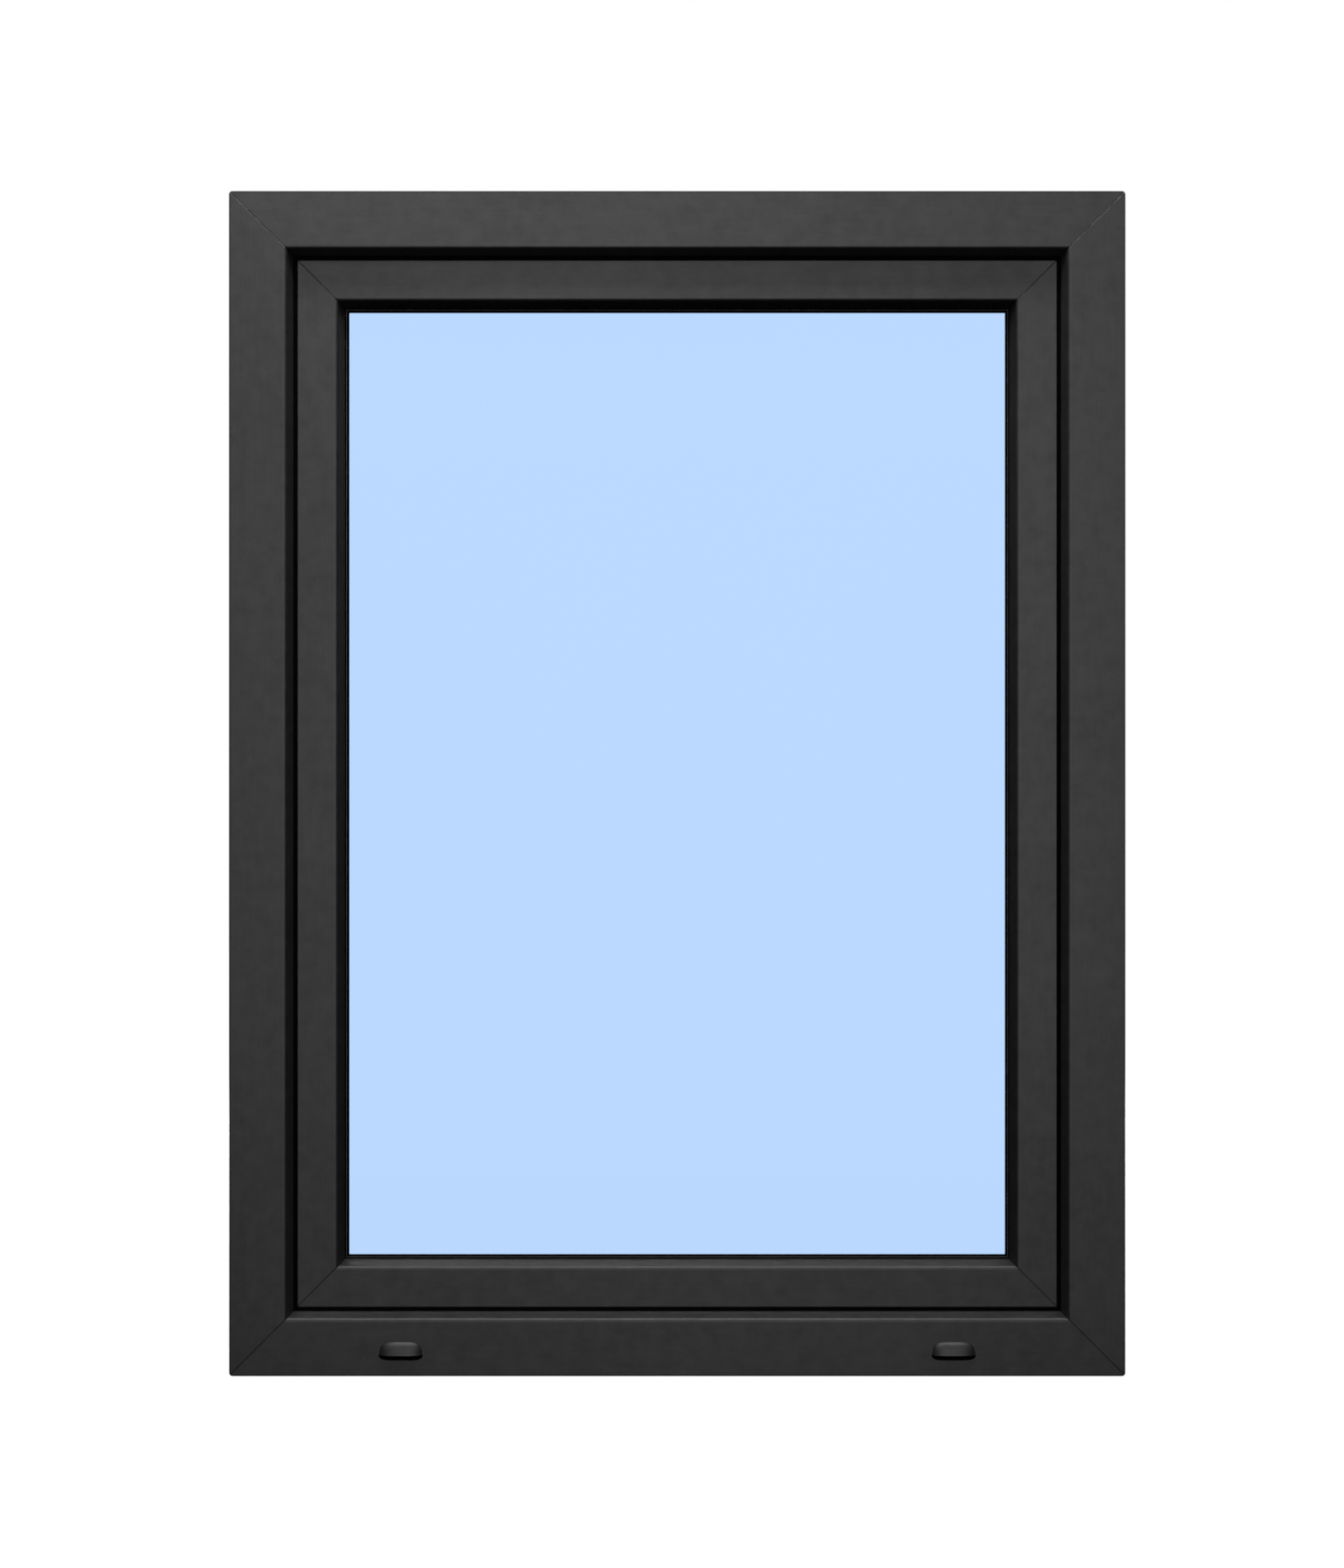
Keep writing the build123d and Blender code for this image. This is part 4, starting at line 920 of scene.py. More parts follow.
# ---- fixed frame -------------------------------------------------------------------------------
@dataclass
class FixedFrame(Members):
    """The four welded frame members, with their fixing holes and drainage."""

    nodes: tuple[str, ...] = ("frame_jamb_hinge", "frame_jamb_lock", "frame_sill", "frame_head")
    corner: float = 3.4
    front: float = -35.0
    room: float = 35.0
    fixing_radius: float = 4.1
    fixing_y: float = 10.0
    fixing_reach: float = 50.0
    fixing_heights: tuple[float, ...] = (150.0, 446.667, 743.333, 1040.0)
    cap_x: float = 277.5
    outlet_scale: float = 0.985
    outlet_reach: tuple[float, float] = (-2.0, 7.5)
    slot_apart: float = 60.0
    slot_y: float = -13.5
    slot_half: tuple[float, float] = (15.0, 2.5)
    slot_z: tuple[float, float] = (30.0, 41.0)

    def section(self) -> Outline:
        """Lip with a sloped inner edge, drainage channel, rebate floor and room face.

        Returns:
            The outline in (u, y).
        """
        return Outline(
            (
                (0.0, self.front, 0.9),
                (3.0, self.front, 0.0),
                (57.4, self.front, 4.0),
                (63.0, -21.0, 1.2),
                (63.0, -18.0, 0.3),
                (60.5, -18.0, 0.0),
                (60.5, -22.0, 0.0),
                (57.5, -22.0, 0.0),
                (57.5, -18.0, 0.0),
                (40.0, -18.0, 0.0),
                (40.0, -1.0, 1.0),
                (44.0, 5.0, 1.5),
                (44.0, self.room, 1.2),
                (3.0, self.room, 0.0),
                (0.0, self.room, 0.9),
                (0.0, 22.0, 0.3),
                (3.0, 22.0, 0.0),
                (3.0, 18.0, 0.0),
                (0.0, 18.0, 0.3),
                (0.0, -18.0, 0.3),
                (3.0, -18.0, 0.0),
                (3.0, -22.0, 0.0),
                (0.0, -22.0, 0.3),
            )
        )

    def fixing_tools(self, side: Side) -> list[bpy.types.Object]:
        """Cutters for the wall fixings through one jamb.

        Args:
            side: the jamb's side.

        Returns:
            One bar for each hole.
        """
        edge = RULER.width / 2 * (-1 if side is Side.HINGE else 1)
        inner = edge + self.fixing_reach * (1 if side is Side.HINGE else -1)
        outer = edge * 1.01
        return [
            rod_tool((outer, self.fixing_y, z), (inner, self.fixing_y, z), self.fixing_radius)
            for z in self.fixing_heights
        ]

    def drain_tools(self) -> list[bpy.types.Object]:
        """Cutters for the two outlets behind the caps and the two slots in the channel.

        Returns:
            The four cutters.
        """
        tools = []
        for way in (-1, 1):
            mouth = DrainCaps.mouth_loop(self.outlet_scale) + np.array([way * self.cap_x, 0.0])
            tools.append(prism_tool(mouth, [self.front + y for y in self.outlet_reach]))
            slot = rounded_rectangle(self.slot_half, self.slot_half[1] - 0.1)
            slot += np.array([way * (self.cap_x - self.slot_apart), self.slot_y])
            rows = [np.column_stack([slot, np.full(len(slot), z)]) for z in self.slot_z]
            tools.append(shell("tool", np.stack(rows)))
        return tools

    def tools(self, side: Side) -> list[bpy.types.Object]:
        """Holes through the jambs, and outlets and slots in the sill.

        Args:
            side: the member's side.

        Returns:
            The cutters.
        """
        if side.upright:
            return self.fixing_tools(side)
        return self.drain_tools() if side is Side.SILL else []


@dataclass
class DrainCaps:
    """The two hooded caps on the sill's outdoor face, and near-black cups in their mouths painted
    as the shade inside.
    """

    centre: float = 277.5
    face: float = -35.0
    lip: float = 21.4
    base: float = 43.6
    arch: float = 13.6
    depth: float = 7.0
    taper: float = 0.07
    lean: float = 0.32
    mouth_half: float = 22.3
    mouth_drop: float = 5.7
    mouth_top: float = 21.6
    mouth_middle: float = 18.7
    mouth_depths: tuple[float, ...] = (7.4, -0.12, -0.12, 6.8)
    mouth_scales: tuple[float, ...] = (1.0, 1.0, 0.93, 0.93)

    @classmethod
    def mouth_loop(cls, scale: float) -> Array:
        """The mouth's outline in (x, z): a straight top edge, a flat lower edge and round ends.

        The lower edge is the top edge less a depth that follows a root of one minus a power of the
        share of the half width.

        Args:
            scale: the size of the outline about its middle.

        Returns:
            The loop's points, one row each.
        """
        share = np.sin(np.linspace(-pi / 2, pi / 2, 41))
        drop = cls.mouth_drop * np.power(np.maximum(1 - np.abs(share) ** 5, 0), 0.45)
        x = cls.mouth_half * share
        lower = np.stack([x, cls.mouth_top - drop], axis=1)
        upper = np.stack([x[::-1][1:-1], np.full(len(x) - 2, cls.mouth_top)], axis=1)
        middle = np.array([0.0, cls.mouth_middle])
        return (np.concatenate([lower, upper]) - middle) * scale + middle

    def hood_loop(self) -> Array:
        """The hood's outline in (x, z): half a superellipse of power 3.6 that narrows upwards.

        Across goes with a power of the angle's cosine and up with the same power of its sine; the
        foot is a straight line of evenly spaced points.

        Returns:
            The loop's points, one row each.
        """
        turn = np.linspace(0, pi, 73)
        power = 2 / 3.6
        up = np.abs(np.sin(turn)) ** power
        across = np.sign(np.cos(turn)) * np.abs(np.cos(turn)) ** power * (1 - self.taper * up)
        crown = np.stack([across * self.base / 2, self.lip + self.arch * up], axis=1)
        foot = np.linspace(-self.base / 2, self.base / 2, 25)[1:-1]
        return np.concatenate([crown, np.stack([foot, np.full(len(foot), self.lip)], axis=1)])

    def hood(self, name: str, x: float) -> bpy.types.Object:
        """One hood.

        Loops of the outline shrink towards the middle of its foot. A loop at scale s stands out by
        the depth times a root of one minus a power of s, less a lean that grows with height.

        Args:
            name: the object's name.
            x: its middle.

        Returns:
            The hood.
        """
        loop = self.hood_loop()
        foot = np.array([0.0, self.lip])
        scale = np.cos(np.linspace(0.0, pi / 2, 20))[:-1, None, None]
        moved = foot + (loop - foot) * scale
        lean = 1 - self.lean * (moved[..., 1] - self.lip) / self.arch
        out = self.depth * np.power(1 - scale[..., 0] ** 3.4, 0.62) * lean
        y = self.face - np.concatenate([np.full((1, len(loop)), -0.06), out + 0.2])
        moved = np.concatenate([moved[:1], moved])
        return shell(name, np.stack([moved[..., 0] + x, y, moved[..., 1]], axis=-1))

    def mouth(self, name: str, x: float) -> bpy.types.Object:
        """One mouth: a near-black cup, painted shade for the opening, whose wall goes in from the
        face and comes back to its floor.

        Args:
            name: the object's name.
            x: its middle.

        Returns:
            The cup.
        """
        rows = []
        for scale, depth in zip(self.mouth_scales, self.mouth_depths):
            loop = self.mouth_loop(scale)
            y = np.full(len(loop), self.face + depth)
            rows.append(np.stack([loop[:, 0] + x, y, loop[:, 1]], axis=1))
        return shell(name, np.stack(rows))

    def build(self, hood: Finish, dark: Finish) -> None:
        """Makes and dresses both caps.

        Args:
            hood: the hoods' finish.
            dark: the mouths' finish.
        """
        for word, way in (("left", -1), ("right", 1)):
            piece = self.hood(f"drain_hood_{word}", way * self.centre)
            smooth(piece, 50.0)
            dress(piece, "frame", hood, [f"drain_cap_{word}"])
            cup = self.mouth(f"drain_mouth_{word}", way * self.centre)
            smooth(cup, 40.0)
            dress(cup, "frame", dark)


# ---- sash --------------------------------------------------------------------------------------
@dataclass
class Sash(Members):
    """The four welded sash members, with the hardware groove and the gearbox pocket."""

    nodes: tuple[str, ...] = (
        "sash_stile_hinge",
        "sash_stile_lock",
        "sash_bottom_rail",
        "sash_top_rail",
    )
    body: str = "sash"
    slot: str = "sash_pvc"
    edge: float = 36.0
    corner: float = 2.0
    spindle_x: float = 376.541
    spindle_z: float = 595.0
    spindle_bore: float = 7.0
    pocket_depths: tuple[float, float] = (77.5, 57.0)
    pocket_y: tuple[float, float] = (18.9, 31.1)
    pocket_half_height: float = 60.5

    def section(self) -> Outline:
        """Sloped outdoor lip, glazing rebate, room flange and stepped hardware groove.

        Returns:
            The outline in (u, y).
        """
        return Outline(
            (
                (56.0, -15.0, 1.2),
                (107.0, -15.0, 4.0),
                (113.0, -1.0, 1.2),
                (113.0, 3.0, 0.3),
                (106.5, 3.0, 0.0),
                (106.5, -1.0, 0.0),
                (103.5, -1.0, 0.0),
                (103.5, 3.0, 0.0),
                (93.0, 3.0, 0.0),
                (93.0, 55.0, 0.3),
                (36.0, 55.0, 4.0),
                (36.0, 38.0, 1.2),
                (40.0, 38.0, 0.0),
                (40.0, 42.0, 0.0),
                (43.0, 42.0, 0.0),
                (43.0, 38.0, 0.0),
                (56.0, 38.0, 0.0),
                (56.0, 33.1, 0.2),
                (58.5, 33.1, 0.0),
                (58.5, 31.0, 0.0),
                (67.0, 31.0, 0.0),
                (67.0, 19.0, 0.0),
                (58.5, 19.0, 0.0),
                (58.5, 16.9, 0.0),
                (56.0, 16.9, 0.2),
            )
        )

    def tools(self, side: Side) -> list[bpy.types.Object]:
        """The gearbox pocket and the spindle's hole to the room face, in the lock stile.

        Args:
            side: the member's side.

        Returns:
            The cutters.
        """
        if side is not Side.LOCK:
            return []
        half, high = RULER.width / 2, self.pocket_half_height
        x = [half - depth for depth in self.pocket_depths]
        pocket = box_tool(x, self.pocket_y, (self.spindle_z - high, self.spindle_z + high))
        ends = [(self.spindle_x, y, self.spindle_z) for y in (24.0, 58.0)]
        return [pocket, rod_tool(*ends, self.spindle_bore)]


@dataclass
class Beads(Members):
    """The four clip-in glazing beads, cut to a close mitre."""

    nodes: tuple[str, ...] = ("bead_hinge_side", "bead_lock_side", "bead_bottom", "bead_top")
    suffix: str = "_clip"
    body: str = "sash"
    slot: str = "sash_pvc"
    weld: Weld = Weld((0.0, 0.25, 0.6, 10.0), (0.16, 0.0, 0.0, 0.0))

    def section(self) -> Outline:
        """Foot in its groove, upstand against the gasket and a rounded slope to the room.

        Returns:
            The outline in (u, y).
        """
        return Outline(
            (
                (93.05, 33.0, 0.2),
                (113.0, 33.0, 0.4),
                (113.0, 37.0, 1.2),
                (97.0, 55.0, 4.0),
                (93.05, 55.0, 0.3),
                (93.05, 39.0, 0.0),
                (89.3, 38.8, 0.3),
                (89.3, 36.2, 0.3),
                (93.05, 36.2, 0.0),
            )
        )


# ---- gaskets and glass -------------------------------------------------------------------------
@dataclass
class Gaskets:
    """The four rubber seals, with gaps in the sash seal for the hinge straps."""

    gap_depth: tuple[float, float] = (34.0, 60.5)
    gap_y: tuple[float, float] = (34.0, 38.6)
    gap_heights: tuple[tuple[float, float], ...] = ((32.0, 78.0), (1114.5, 1147.0))

    def frame_seal(self) -> Outline:
        """Lip seal on the frame that closes against the sash's outdoor face.

        Returns:
            The outline in (u, y).
        """
        return Outline(
            (
                (57.7, -21.8, 0.2),
                (60.3, -21.8, 0.2),
                (60.3, -18.0, 0.0),
                (63.0, -18.0, 0.2),
                (66.2, -17.4, 0.7),
                (67.2, -15.9, 0.4),
                (66.6, -15.35, 0.2),
                (62.2, -15.3, 0.3),
                (57.2, -17.0, 0.4),
                (57.2, -18.0, 0.0),
                (57.7, -18.0, 0.0),
            ),
            steps=4,
            guard=0.15,
        )

    def sash_seal(self) -> Outline:
        """Bulb seal on the sash flange that closes against the frame's room face.

        Returns:
            The outline in (u, y).
        """
        return Outline(
            (
                (40.2, 41.8, 0.2),
                (40.2, 38.0, 0.0),
                (38.5, 38.0, 0.3),
                (39.4, 35.35, 0.9),
                (42.6, 35.35, 1.1),
                (44.0, 38.0, 0.3),
                (42.8, 38.0, 0.0),
                (42.8, 41.8, 0.2),
            ),
            steps=4,
            guard=0.15,
        )

    def outer_glazing_seal(self) -> Outline:
        """Seal between lip and outer pane, with a thin raised rib beside the lip.

        Returns:
            The outline in (u, y).
        """
        return Outline(
            (
                (103.7, -0.8, 0.2),
                (106.3, -0.8, 0.2),
                (106.3, 3.0, 0.0),
                (113.05, 3.0, 0.0),
                (114.1, 3.1, 0.1),
                (114.6, 2.5, 0.2),
                (115.1, 3.3, 0.1),
                (116.2, 3.9, 0.5),
                (117.2, 5.2, 0.4),
                (117.2, 6.0, 0.1),
                (103.7, 6.0, 0.1),
            ),
            steps=3,
            guard=0.08,
        )

    def inner_glazing_seal(self) -> Outline:
        """Seal between inner pane and beads.

        Returns:
            The outline in (u, y).
        """
        return Outline(
            (
                (101.0, 33.0, 0.1),
                (101.0, 30.0, 0.1),
                (115.5, 30.0, 0.2),
                (115.3, 31.6, 0.6),
                (113.2, 33.0, 0.2),
            ),
            steps=4,
            guard=0.2,
        )

    def hinge_gaps(self) -> list[bpy.types.Object]:
        """Cutters where the two hinge straps pass through the sash seal."""
        x = [depth - RULER.width / 2 for depth in self.gap_depth]
        return [box_tool(x, self.gap_y, heights) for heights in self.gap_heights]

    def build(self, plain: Finish, ribbed: Finish) -> None:
        """Makes and dresses the four rings.

        Args:
            plain: the black seals' finish.
            ribbed: the outer glazing seal's finish.
        """
        frame_ring = gasket_ring("frame_seal", self.frame_seal(), 0.6)
        sash_ring = gasket_ring("sash_seal", self.sash_seal(), 2.0)
        carve(sash_ring, self.hinge_gaps())
        outer = gasket_ring("outer_glazing_seal", self.outer_glazing_seal(), 0.5)
        inner = gasket_ring("inner_glazing_seal", self.inner_glazing_seal(), 0.5)
        rows = (
            (frame_ring, "frame", plain, "frame_gasket"),
            (sash_ring, "sash", plain, "sash_gasket"),
            # The outer glazing seal's finish paints a paler band on its rib as a highlight.
            (outer, "sash", ribbed, "glazing_gasket_outer"),
            (inner, "sash", plain, "glazing_gasket_inner"),
        )
        for piece, body, finish, node in rows:
            smooth(piece, 40.0)
            dress(piece, body, finish, [node])


@dataclass
class SealedUnit:
    """The two panes with ground arrises; spacer, seal and packers stay CAD nodes."""

    edge: float = 98.0
    arris: float = 0.5
    corner: float = 1.0

    def pane(self, name: str, front: float, back: float) -> bpy.types.Object:
        """One pane: rectangles whose inset and y follow the arris, the edge and the arris again.

        Args:
            name: the object's name.
            front: y of its outdoor face.
            back: y of its room face.

        Returns:
            The pane.
        """
        rows = []
        for inset, y in (
            (self.arris, front),
            (0.0, front + self.arris),
            (0.0, back - self.arris),
            (self.arris, back),
        ):
            depth = self.edge + inset
            half = (RULER.width / 2 - depth, RULER.height / 2 - depth)
            loop = rounded_rectangle(half, self.corner, 4)
            z = loop[:, 1] + RULER.height / 2
            rows.append(np.stack([loop[:, 0], np.full(len(loop), y), z], axis=1))
        return shell(name, np.stack(rows))

    def build(self, glass: Finish) -> None:
        """Makes and dresses both panes, whose glow stays off the other pieces.

        Args:
            glass: their finish.
        """
        for name, node in (("outer_pane", "glass_pane_outer"), ("inner_pane", "glass_pane_inner")):
            low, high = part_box(node)
            piece = self.pane(name, low.y / MM, high.y / MM)
            smooth(piece, 30.0)
            dress(piece, "sash", glass, [node])
            piece.visible_diffuse = False
            piece.visible_glossy = False


# ---- handle ------------------------------------------------------------------------------------
@dataclass
class HandleSet:
    """Lever handle on its oval rosette, at its middle position."""

    x: float = 376.541
    z: float = 595.0
    face: float = 55.0
    rosette_half: tuple[float, float] = (15.0, 33.0)
    rosette_height: float = 11.0
    rim: tuple[float, float] = (3.2, 3.4)
    cover_inset: float = 5.0
    neck: float = 9.0
    waist: float = 1.5
    neck_foot: float = 3.2
    reach: float = 130.0
    heel: float = 11.0
    middle: float = 99.0
    heel_round: float = 9.5
    tip_round: float = 8.0
    half_height: float = 8.7
    swell: float = 1.75
    half_thick: float = 7.35
    thinning: float = 1.3
    neck_hole: float = 9.3
    voxel: float = 0.9

    def rosette(self) -> bpy.types.Object:
        """Stadium loops that draw in and rise like a quarter circle towards a flat cover.

        Returns:
            The rosette.
        """
        turn = np.linspace(0, pi / 2, 9)
        across, up = self.rim
        inset = np.concatenate([[0.0, 0.0], across * (1 - np.cos(turn))[1:], [self.cover_inset]])
        foot = self.rosette_height - up
        rise = np.concatenate([[0.0], foot + up * np.sin(turn), [self.rosette_height]])
        rows = []
        for shrink, height in zip(inset, rise):
            half = (self.rosette_half[0] - shrink, self.rosette_half[1] - shrink)
            loop = rounded_rectangle(half, half[0] - 0.4, 12)
            y = np.full(len(loop), self.face + height)
            rows.append(np.stack([loop[:, 0] + self.x, y, loop[:, 1] + self.z], axis=1))
        return shell("handle_rose", np.stack(rows))

    def grip_loops(self) -> Array:
        """Superellipse sections along the grip.

        The half height swells from the neck to two thirds of the reach and the whole section draws
        in at both ends like a quarter circle; the power 2.6 keeps it between oval and rectangle.

        Returns:
            (sections, points in a section, 3), in millimetres.
        """
        share = np.linspace(0, 1, 64)
        along = self.heel + (-self.reach - self.heel) * share
        heel_end = np.clip((self.heel - along) / self.heel_round, 0, 1)
        tip_end = np.clip((along + self.reach) / self.tip_round, 0, 1)
        ends = np.sqrt(1 - (1 - heel_end) ** 2.4) * np.sqrt(1 - (1 - tip_end) ** 2.2)
        ends = np.maximum(ends, 0.04)
        swell = self.swell * np.sin(np.clip(share * 1.25 - 0.2, 0, 1) * pi)
        high = (self.half_height + swell) * ends
        thick = (self.half_thick - self.thinning * share**1.5) * ends
        drift = 0.9 * np.sin(share * pi)
        angle = np.linspace(0, 2 * pi, 48, endpoint=False)
        power = 2 / 2.6
        across = np.sign(np.cos(angle)) * np.abs(np.cos(angle)) ** power
        up = np.sign(np.sin(angle)) * np.abs(np.sin(angle)) ** power
        y = self.middle - 0.1 + drift[:, None] * 0.1 + thick[:, None] * across
        z = self.z + high[:, None] * up
        x = np.broadcast_to(self.x + along[:, None], y.shape)
        return np.stack([x, y, z], axis=-1)

    def neck_loops(self) -> Array:
        """Circles along the neck whose radius waists between collar and grip as a squared sine.

        Returns:
            (circles, points in a circle, 3), in millimetres.
        """
        share = np.linspace(0, 1, 24)
        radius = self.neck - self.waist * np.sin(share * pi) ** 2
        foot = self.neck_foot
        y = self.face + foot + (self.middle - 3.0 - self.face - foot) * share
        angle = np.linspace(0, 2 * pi, 48, endpoint=False)
        x = self.x + radius[:, None] * np.cos(angle)
        z = self.z + radius[:, None] * np.sin(angle)
        return np.stack([x, np.broadcast_to(y[:, None], x.shape), z], axis=-1)

    def lever(self) -> bpy.types.Object:
        """Neck and grip grown into one casting: voxels of both, then smoothed.

        Returns:
            The lever.
        """
        piece = shell("handle_lever", self.grip_loops())
        neck = shell("tool", self.neck_loops())
        union = piece.modifiers.new("join", "BOOLEAN")
        union.operation = "UNION"
        union.solver = "EXACT"
        union.object = neck
        voxels = piece.modifiers.new("voxels", "REMESH")
        voxels.mode = "VOXEL"
        voxels.voxel_size = self.voxel * MM
        soften = piece.modifiers.new("soften", "SMOOTH")
        soften.factor = 0.5
        soften.iterations = 9
        settled(piece)
        bpy.data.objects.remove(neck)
        return piece

    def build(self, finish: Finish) -> None:
        """Makes and dresses rosette and lever.

        Args:
            finish: their finish.
        """
        rose = self.rosette()
        ends = [(self.x, self.face + out, self.z) for out in (-1, self.rosette_height + 1)]
        carve(rose, [rod_tool(*ends, self.neck_hole)])
        smooth(rose, 40.0)
        dress(rose, "sash", finish, ["handle_rosette"])
        lever = self.lever()
        smooth(lever, 80.0)
        dress(lever, "handle", finish, ["handle_grip"])


# ---- hinge side and locking gear ---------------------------------------------------------------
@dataclass
class Hardware:
    """Hinges, stay, strikers, faceplates and rods, softened from their exact shapes."""

    cast_edge: float = 0.45
    cap_edge: float = 0.2
    strip_edge: float = 0.18

    def coated_hinges(self, finish: Finish, caps: Finish) -> None:
        """Coated bearings and corner band, and their moulded caps.

        Args:
            finish: the castings' finish.
            caps: the caps' finish.
        """
        bodies = {"stay_bearing": "frame", "corner_bearing": "frame", "corner_band": "sash"}
        for node, body in bodies.items():
            dress(softened(node, self.cast_edge), body, finish, [node])
        for node, body in bodies.items():
            cap = node + "_cap"
            dress(softened(cap, self.cap_edge), body, caps, [cap])

    def plated(self, upright: Finish, level: Finish, turned: Finish) -> None:
        """Zinc-plated strips, arms and strikers, and turned pins.

        Args:
            upright: finish of the standing strips.
            level: finish of the level strips.
            turned: finish of turned pins and cast parts.
        """
        strips = {
            "faceplate_lock": ("sash", upright),
            "faceplate_top": ("sash", level),
            "faceplate_bottom": ("sash", level),
            "corner_drives": ("sash", turned),
            "stay_arm": ("stay_arm", level),
            "striker_lower": ("frame", upright),
            "striker_upper": ("frame", upright),
            "striker_head": ("frame", level),
            "striker_tilt": ("frame", level),
            "lock_rod": ("lock_rod", upright),
            "top_rod": ("top_rod", level),
            "bottom_rod": ("bottom_rod", level),
        }
        for node, (body, finish) in strips.items():
            dress(softened(node, self.strip_edge), body, finish, [node])
        for node in (
            "stay_slider_pin",
            "stay_bearing_pin",
            "corner_pivot_pin",
            "handle_spindle",
            "gearbox_pinion",
        ):
            paint_node(node, turned)

    def fixings(self, screw: Finish) -> None:
        """Every screw."""
        for node in ("striker_screws", "bearing_screws", "hardware_screws", "handle_screws"):
            paint_node(node, screw)

    def hidden(
        self, zinc: Finish, cast: Finish, spacer: Finish, seal: Finish, packer: Finish
    ) -> None:
        """Reinforcement, gearbox and what lies between and under the panes.

        Args:
            zinc: the reinforcement's finish.
            cast: the gearbox's finish.
            spacer: the spacer bar's finish.
            seal: the edge seal's finish.
            packer: the packers' finish.
        """
        for node in (
            "frame_steel_horizontal",
            "frame_steel_vertical",
            "sash_steel_horizontal",
            "sash_steel_hinge",
            "sash_steel_lock",
        ):
            paint_node(node, zinc)
        paint_node("gearbox_case", cast)
        paint_node("spacer_bar", spacer)
        paint_node("glass_edge_seal", seal)
        paint_node("glazing_packers", packer)


# ---- studio ------------------------------------------------------------------------------------
CENTRE = (0.0, 0.0, 0.6)


@dataclass(frozen=True)
class Lamp:
    """A rectangular soft light: place, aim and size in metres, and power in watts."""

    name: str
    spot: tuple[float, float, float]
    size: tuple[float, float]
    power: float
    aim: tuple[float, float, float] = CENTRE
    in_gloss: bool = True

    def build(self) -> None:
        """Puts the light in the scene, hidden from the camera.

        Its pitch is the angle between the way it faces and straight down, and its turn about the
        upright axis is the bearing of the way it faces.
        """
        data = bpy.data.lights.new(self.name, "AREA")
        data.shape = "RECTANGLE"
        data.size, data.size_y = self.size
        data.energy = self.power
        lamp = bpy.data.objects.new(self.name, data)
        lamp.location = self.spot
        heading = unit(np.array(self.aim, float) - np.array(self.spot, float))
        pitch = np.arccos(np.clip(-heading[2], -1, 1))
        lamp.rotation_euler = (pitch, 0.0, np.arctan2(-heading[0], heading[1]))
        lamp.visible_camera = False
        lamp.visible_glossy = self.in_gloss
        bpy.context.scene.collection.objects.link(lamp)


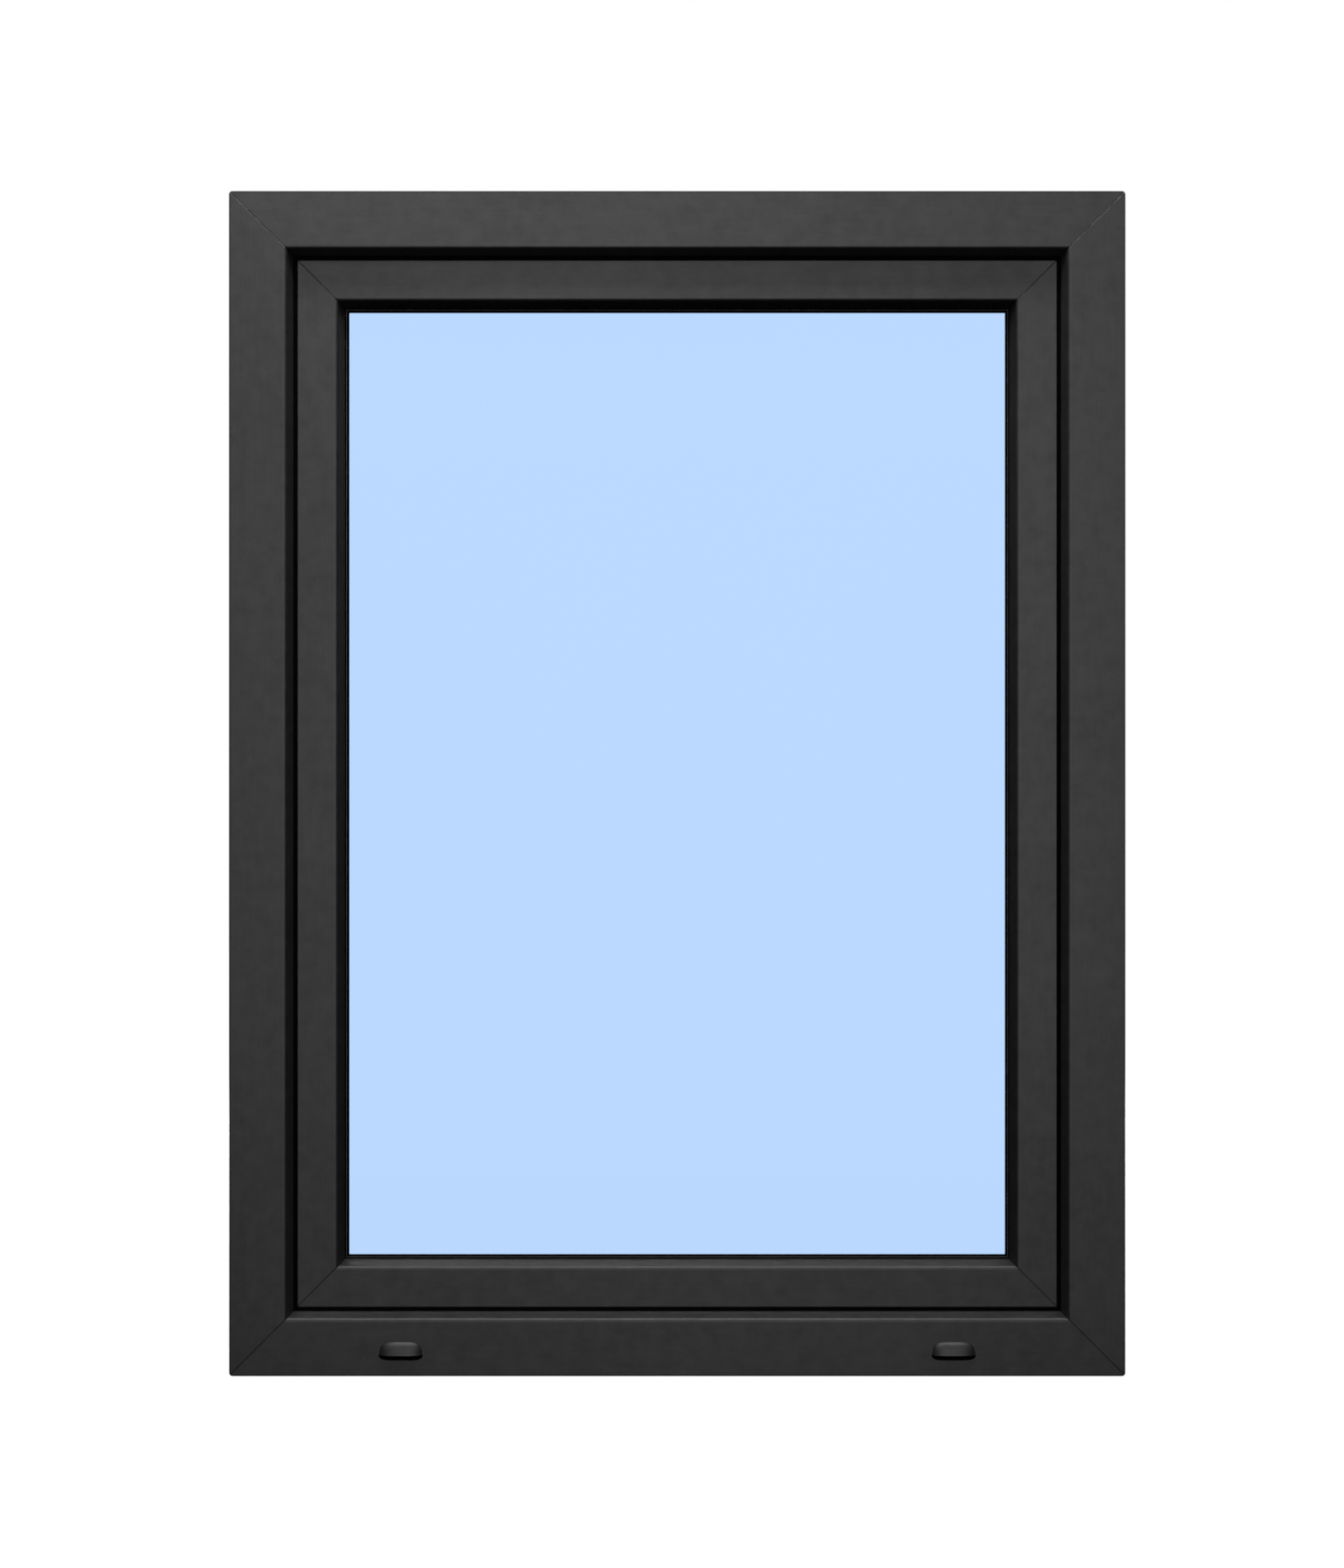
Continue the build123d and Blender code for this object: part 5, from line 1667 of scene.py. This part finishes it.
@dataclass
class Studio:
    """Pale floor, soft lights and camera."""

    eye: tuple[float, float, float] = (-0.0052, -3.535, 0.5946)
    lens: float = 80.05
    floor_radius: float = 9.0
    floor_drop: float = 0.0004
    sky: float = 0.12
    sky_fade: tuple[float, float] = (-0.35, 0.9)
    lamps: tuple[Lamp, ...] = (
        Lamp("key", (-0.55, -0.95, 1.75), (0.5, 0.4), 2.0, (-0.2, 0.0, 0.9)),
        Lamp("top", (0.0, -0.55, 2.3), (1.6, 0.3), 24.2, (0.0, 0.0, 0.5)),
        Lamp("front", (0.0, -3.9, 0.75), (2.0, 2.0), 30.0),
        Lamp("brow", (0.3, -3.2, 1.9), (2.4, 1.4), 4.5),
        Lamp("room", (-0.3, 3.2, 1.5), (1.8, 1.4), 110.0),
        Lamp("room_side", (1.3, 3.0, 1.4), (0.9, 1.4), 33.0),
        Lamp("side", (-2.6, 1.2, 1.3), (0.8, 1.4), 55.0, in_gloss=False),
    )

    def floor(self) -> None:
        """A wide pale floor: rings of points round a middle face; light doesn't bounce off it."""
        turn = np.linspace(0, 2 * pi, 96, endpoint=False)
        radius = np.linspace(0.02, self.floor_radius, 24)[:, None]
        x, y = radius * np.cos(turn), radius * np.sin(turn)
        mesh = bpy.data.meshes.new("floor")
        points = np.stack([x, y, np.full(x.shape, -self.floor_drop)], axis=-1).reshape(-1, 3)
        mesh.from_pydata(points.tolist(), [], grid_faces(24, 96, False) + [list(range(96))])
        plane = bpy.data.objects.new("floor", mesh)
        bpy.context.scene.collection.objects.link(plane)
        paint = bpy.data.materials.new("pale_floor")
        tree = Tree(paint)
        dust = tree.noise(6.0, 3.0)
        tree.finish(
            Base_Color=tree.scaled((0.5, 0.5, 0.5), 0.96 + 0.08 * dust),
            Roughness=0.9,
            Specular_IOR_Level=0.0,
            Emission_Color=(1.0, 1.0, 1.0),
            Emission_Strength=1.0,
        )
        mesh.materials.append(paint)
        plane.visible_diffuse = False
        plane.visible_glossy = False
        plane.visible_transmission = False

    def world(self) -> None:
        """White behind the window, and a dim sky that fades downwards for the light itself."""
        world = bpy.data.worlds.new("studio")
        bpy.context.scene.world = world
        tree = Tree(world)
        heading = tree.node("ShaderNodeTexCoord").outputs["Generated"]
        up = tree.node("ShaderNodeSeparateXYZ", None, {0: heading})
        height = Value(tree, up.outputs[2]).ramp(*self.sky_fade)
        light = tree.scaled((1.0, 1.0, 1.0), height * self.sky)
        glow = tree.node("ShaderNodeBackground", None, {"Color": light})
        white = tree.node("ShaderNodeBackground", None, {"Color": (1.0, 1.0, 1.0, 1.0)})
        seen = tree.node("ShaderNodeLightPath").outputs["Is Camera Ray"]
        choice = {0: seen, 1: glow.outputs[0], 2: white.outputs[0]}
        mix = tree.node("ShaderNodeMixShader", None, choice)
        tree.node("ShaderNodeOutputWorld", None, {"Surface": mix.outputs[0]})

    def camera(self) -> None:
        """A level camera square to the outdoor face."""
        data = bpy.data.cameras.new("camera")
        data.sensor_fit = "VERTICAL"
        data.sensor_height = 36.0
        data.lens = self.lens
        data.dof.use_dof = False
        camera = bpy.data.objects.new("camera", data)
        camera.location = self.eye
        camera.rotation_euler = (pi / 2, 0.0, 0.0)
        bpy.context.scene.collection.objects.link(camera)
        bpy.context.scene.camera = camera

    def build(self) -> None:
        """Sets up the whole studio."""
        self.floor()
        for lamp in self.lamps:
            lamp.build()
        self.world()
        self.camera()
        bpy.context.scene.view_settings.view_transform = "Standard"
        LOG.info("studio: camera, %d lights and floor", len(self.lamps))


def main() -> None:
    """Builds every sub-assembly in order."""
    logging.basicConfig(level=logging.INFO, format="%(name)s %(message)s")
    half, height = RULER.width / 2 * MM, RULER.height * MM
    # Painted light and shade: these copies of one PVC differ in tone and gloss to follow how light
    # falls on each side; only their grain differs for real.
    left = Extruded("pvc_left", (0.0112, 0.0112, 0.0114), Grain.UPRIGHT, half, height, 0.89)
    right = Extruded("pvc_right", (0.0116, 0.0116, 0.0118), Grain.UPRIGHT, half, height)
    level = Extruded("pvc_level", (0.0116, 0.0116, 0.0118), Grain.LEVEL, half, height, 0.92)
    members = {Side.HINGE: left, Side.LOCK: right, Side.SILL: level, Side.HEAD: level}
    rubber = Rubber("gasket_rubber")
    # The paler band on this seal's rib is a painted highlight.
    ribbed = Rubber("rubber_painted_highlight", rib=0.1146, half_width=half, height=height)

    FixedFrame().build(members)
    DrainCaps().build(
        Coated("cap_plastic", (0.012, 0.012, 0.0121), 0.5, 900.0, 0.75),
        # The mouths' near-black finish is painted shade inside the drain openings.
        Rubber("cap_shadow", 0.001),
    )
    Sash().build(members)
    Beads().build(members)
    Gaskets().build(rubber, ribbed)
    SealedUnit().build(BlueGlass("blue_glass"))
    HandleSet().build(Coated("handle_coat", (0.030, 0.030, 0.031), 0.34, 1900.0))

    hardware = Hardware()
    hardware.coated_hinges(
        Coated("hinge_coat", (0.031, 0.031, 0.032), 0.36, 1600.0),
        Coated("hinge_cap", (0.028, 0.028, 0.029), 0.28, 700.0),
    )
    hardware.plated(
        Metal("plated_upright", grain=Grain.UPRIGHT),
        Metal("plated_level", grain=Grain.LEVEL),
        Metal("turned_steel", (0.60, 0.60, 0.61), Grain.ROUND, 0.24, 1500.0),
    )
    hardware.fixings(Metal("screw_steel", (0.40, 0.40, 0.39), Grain.ROUND, 0.36, 1200.0))
    hardware.hidden(
        Metal("galvanised", (0.50, 0.51, 0.52), Grain.UPRIGHT, 0.42, 300.0, 0.35),
        Metal("cast_zinc", (0.42, 0.43, 0.44), Grain.ROUND, 0.5, 700.0),
        Metal("spacer_metal", (0.10, 0.10, 0.11), Grain.LEVEL, 0.35, 800.0),
        Rubber("edge_sealant", 0.012),
        Coated("packer_plastic", (0.05, 0.09, 0.36), 0.5, 800.0),
    )
    Studio().build()


if __name__ == "__main__":
    main()
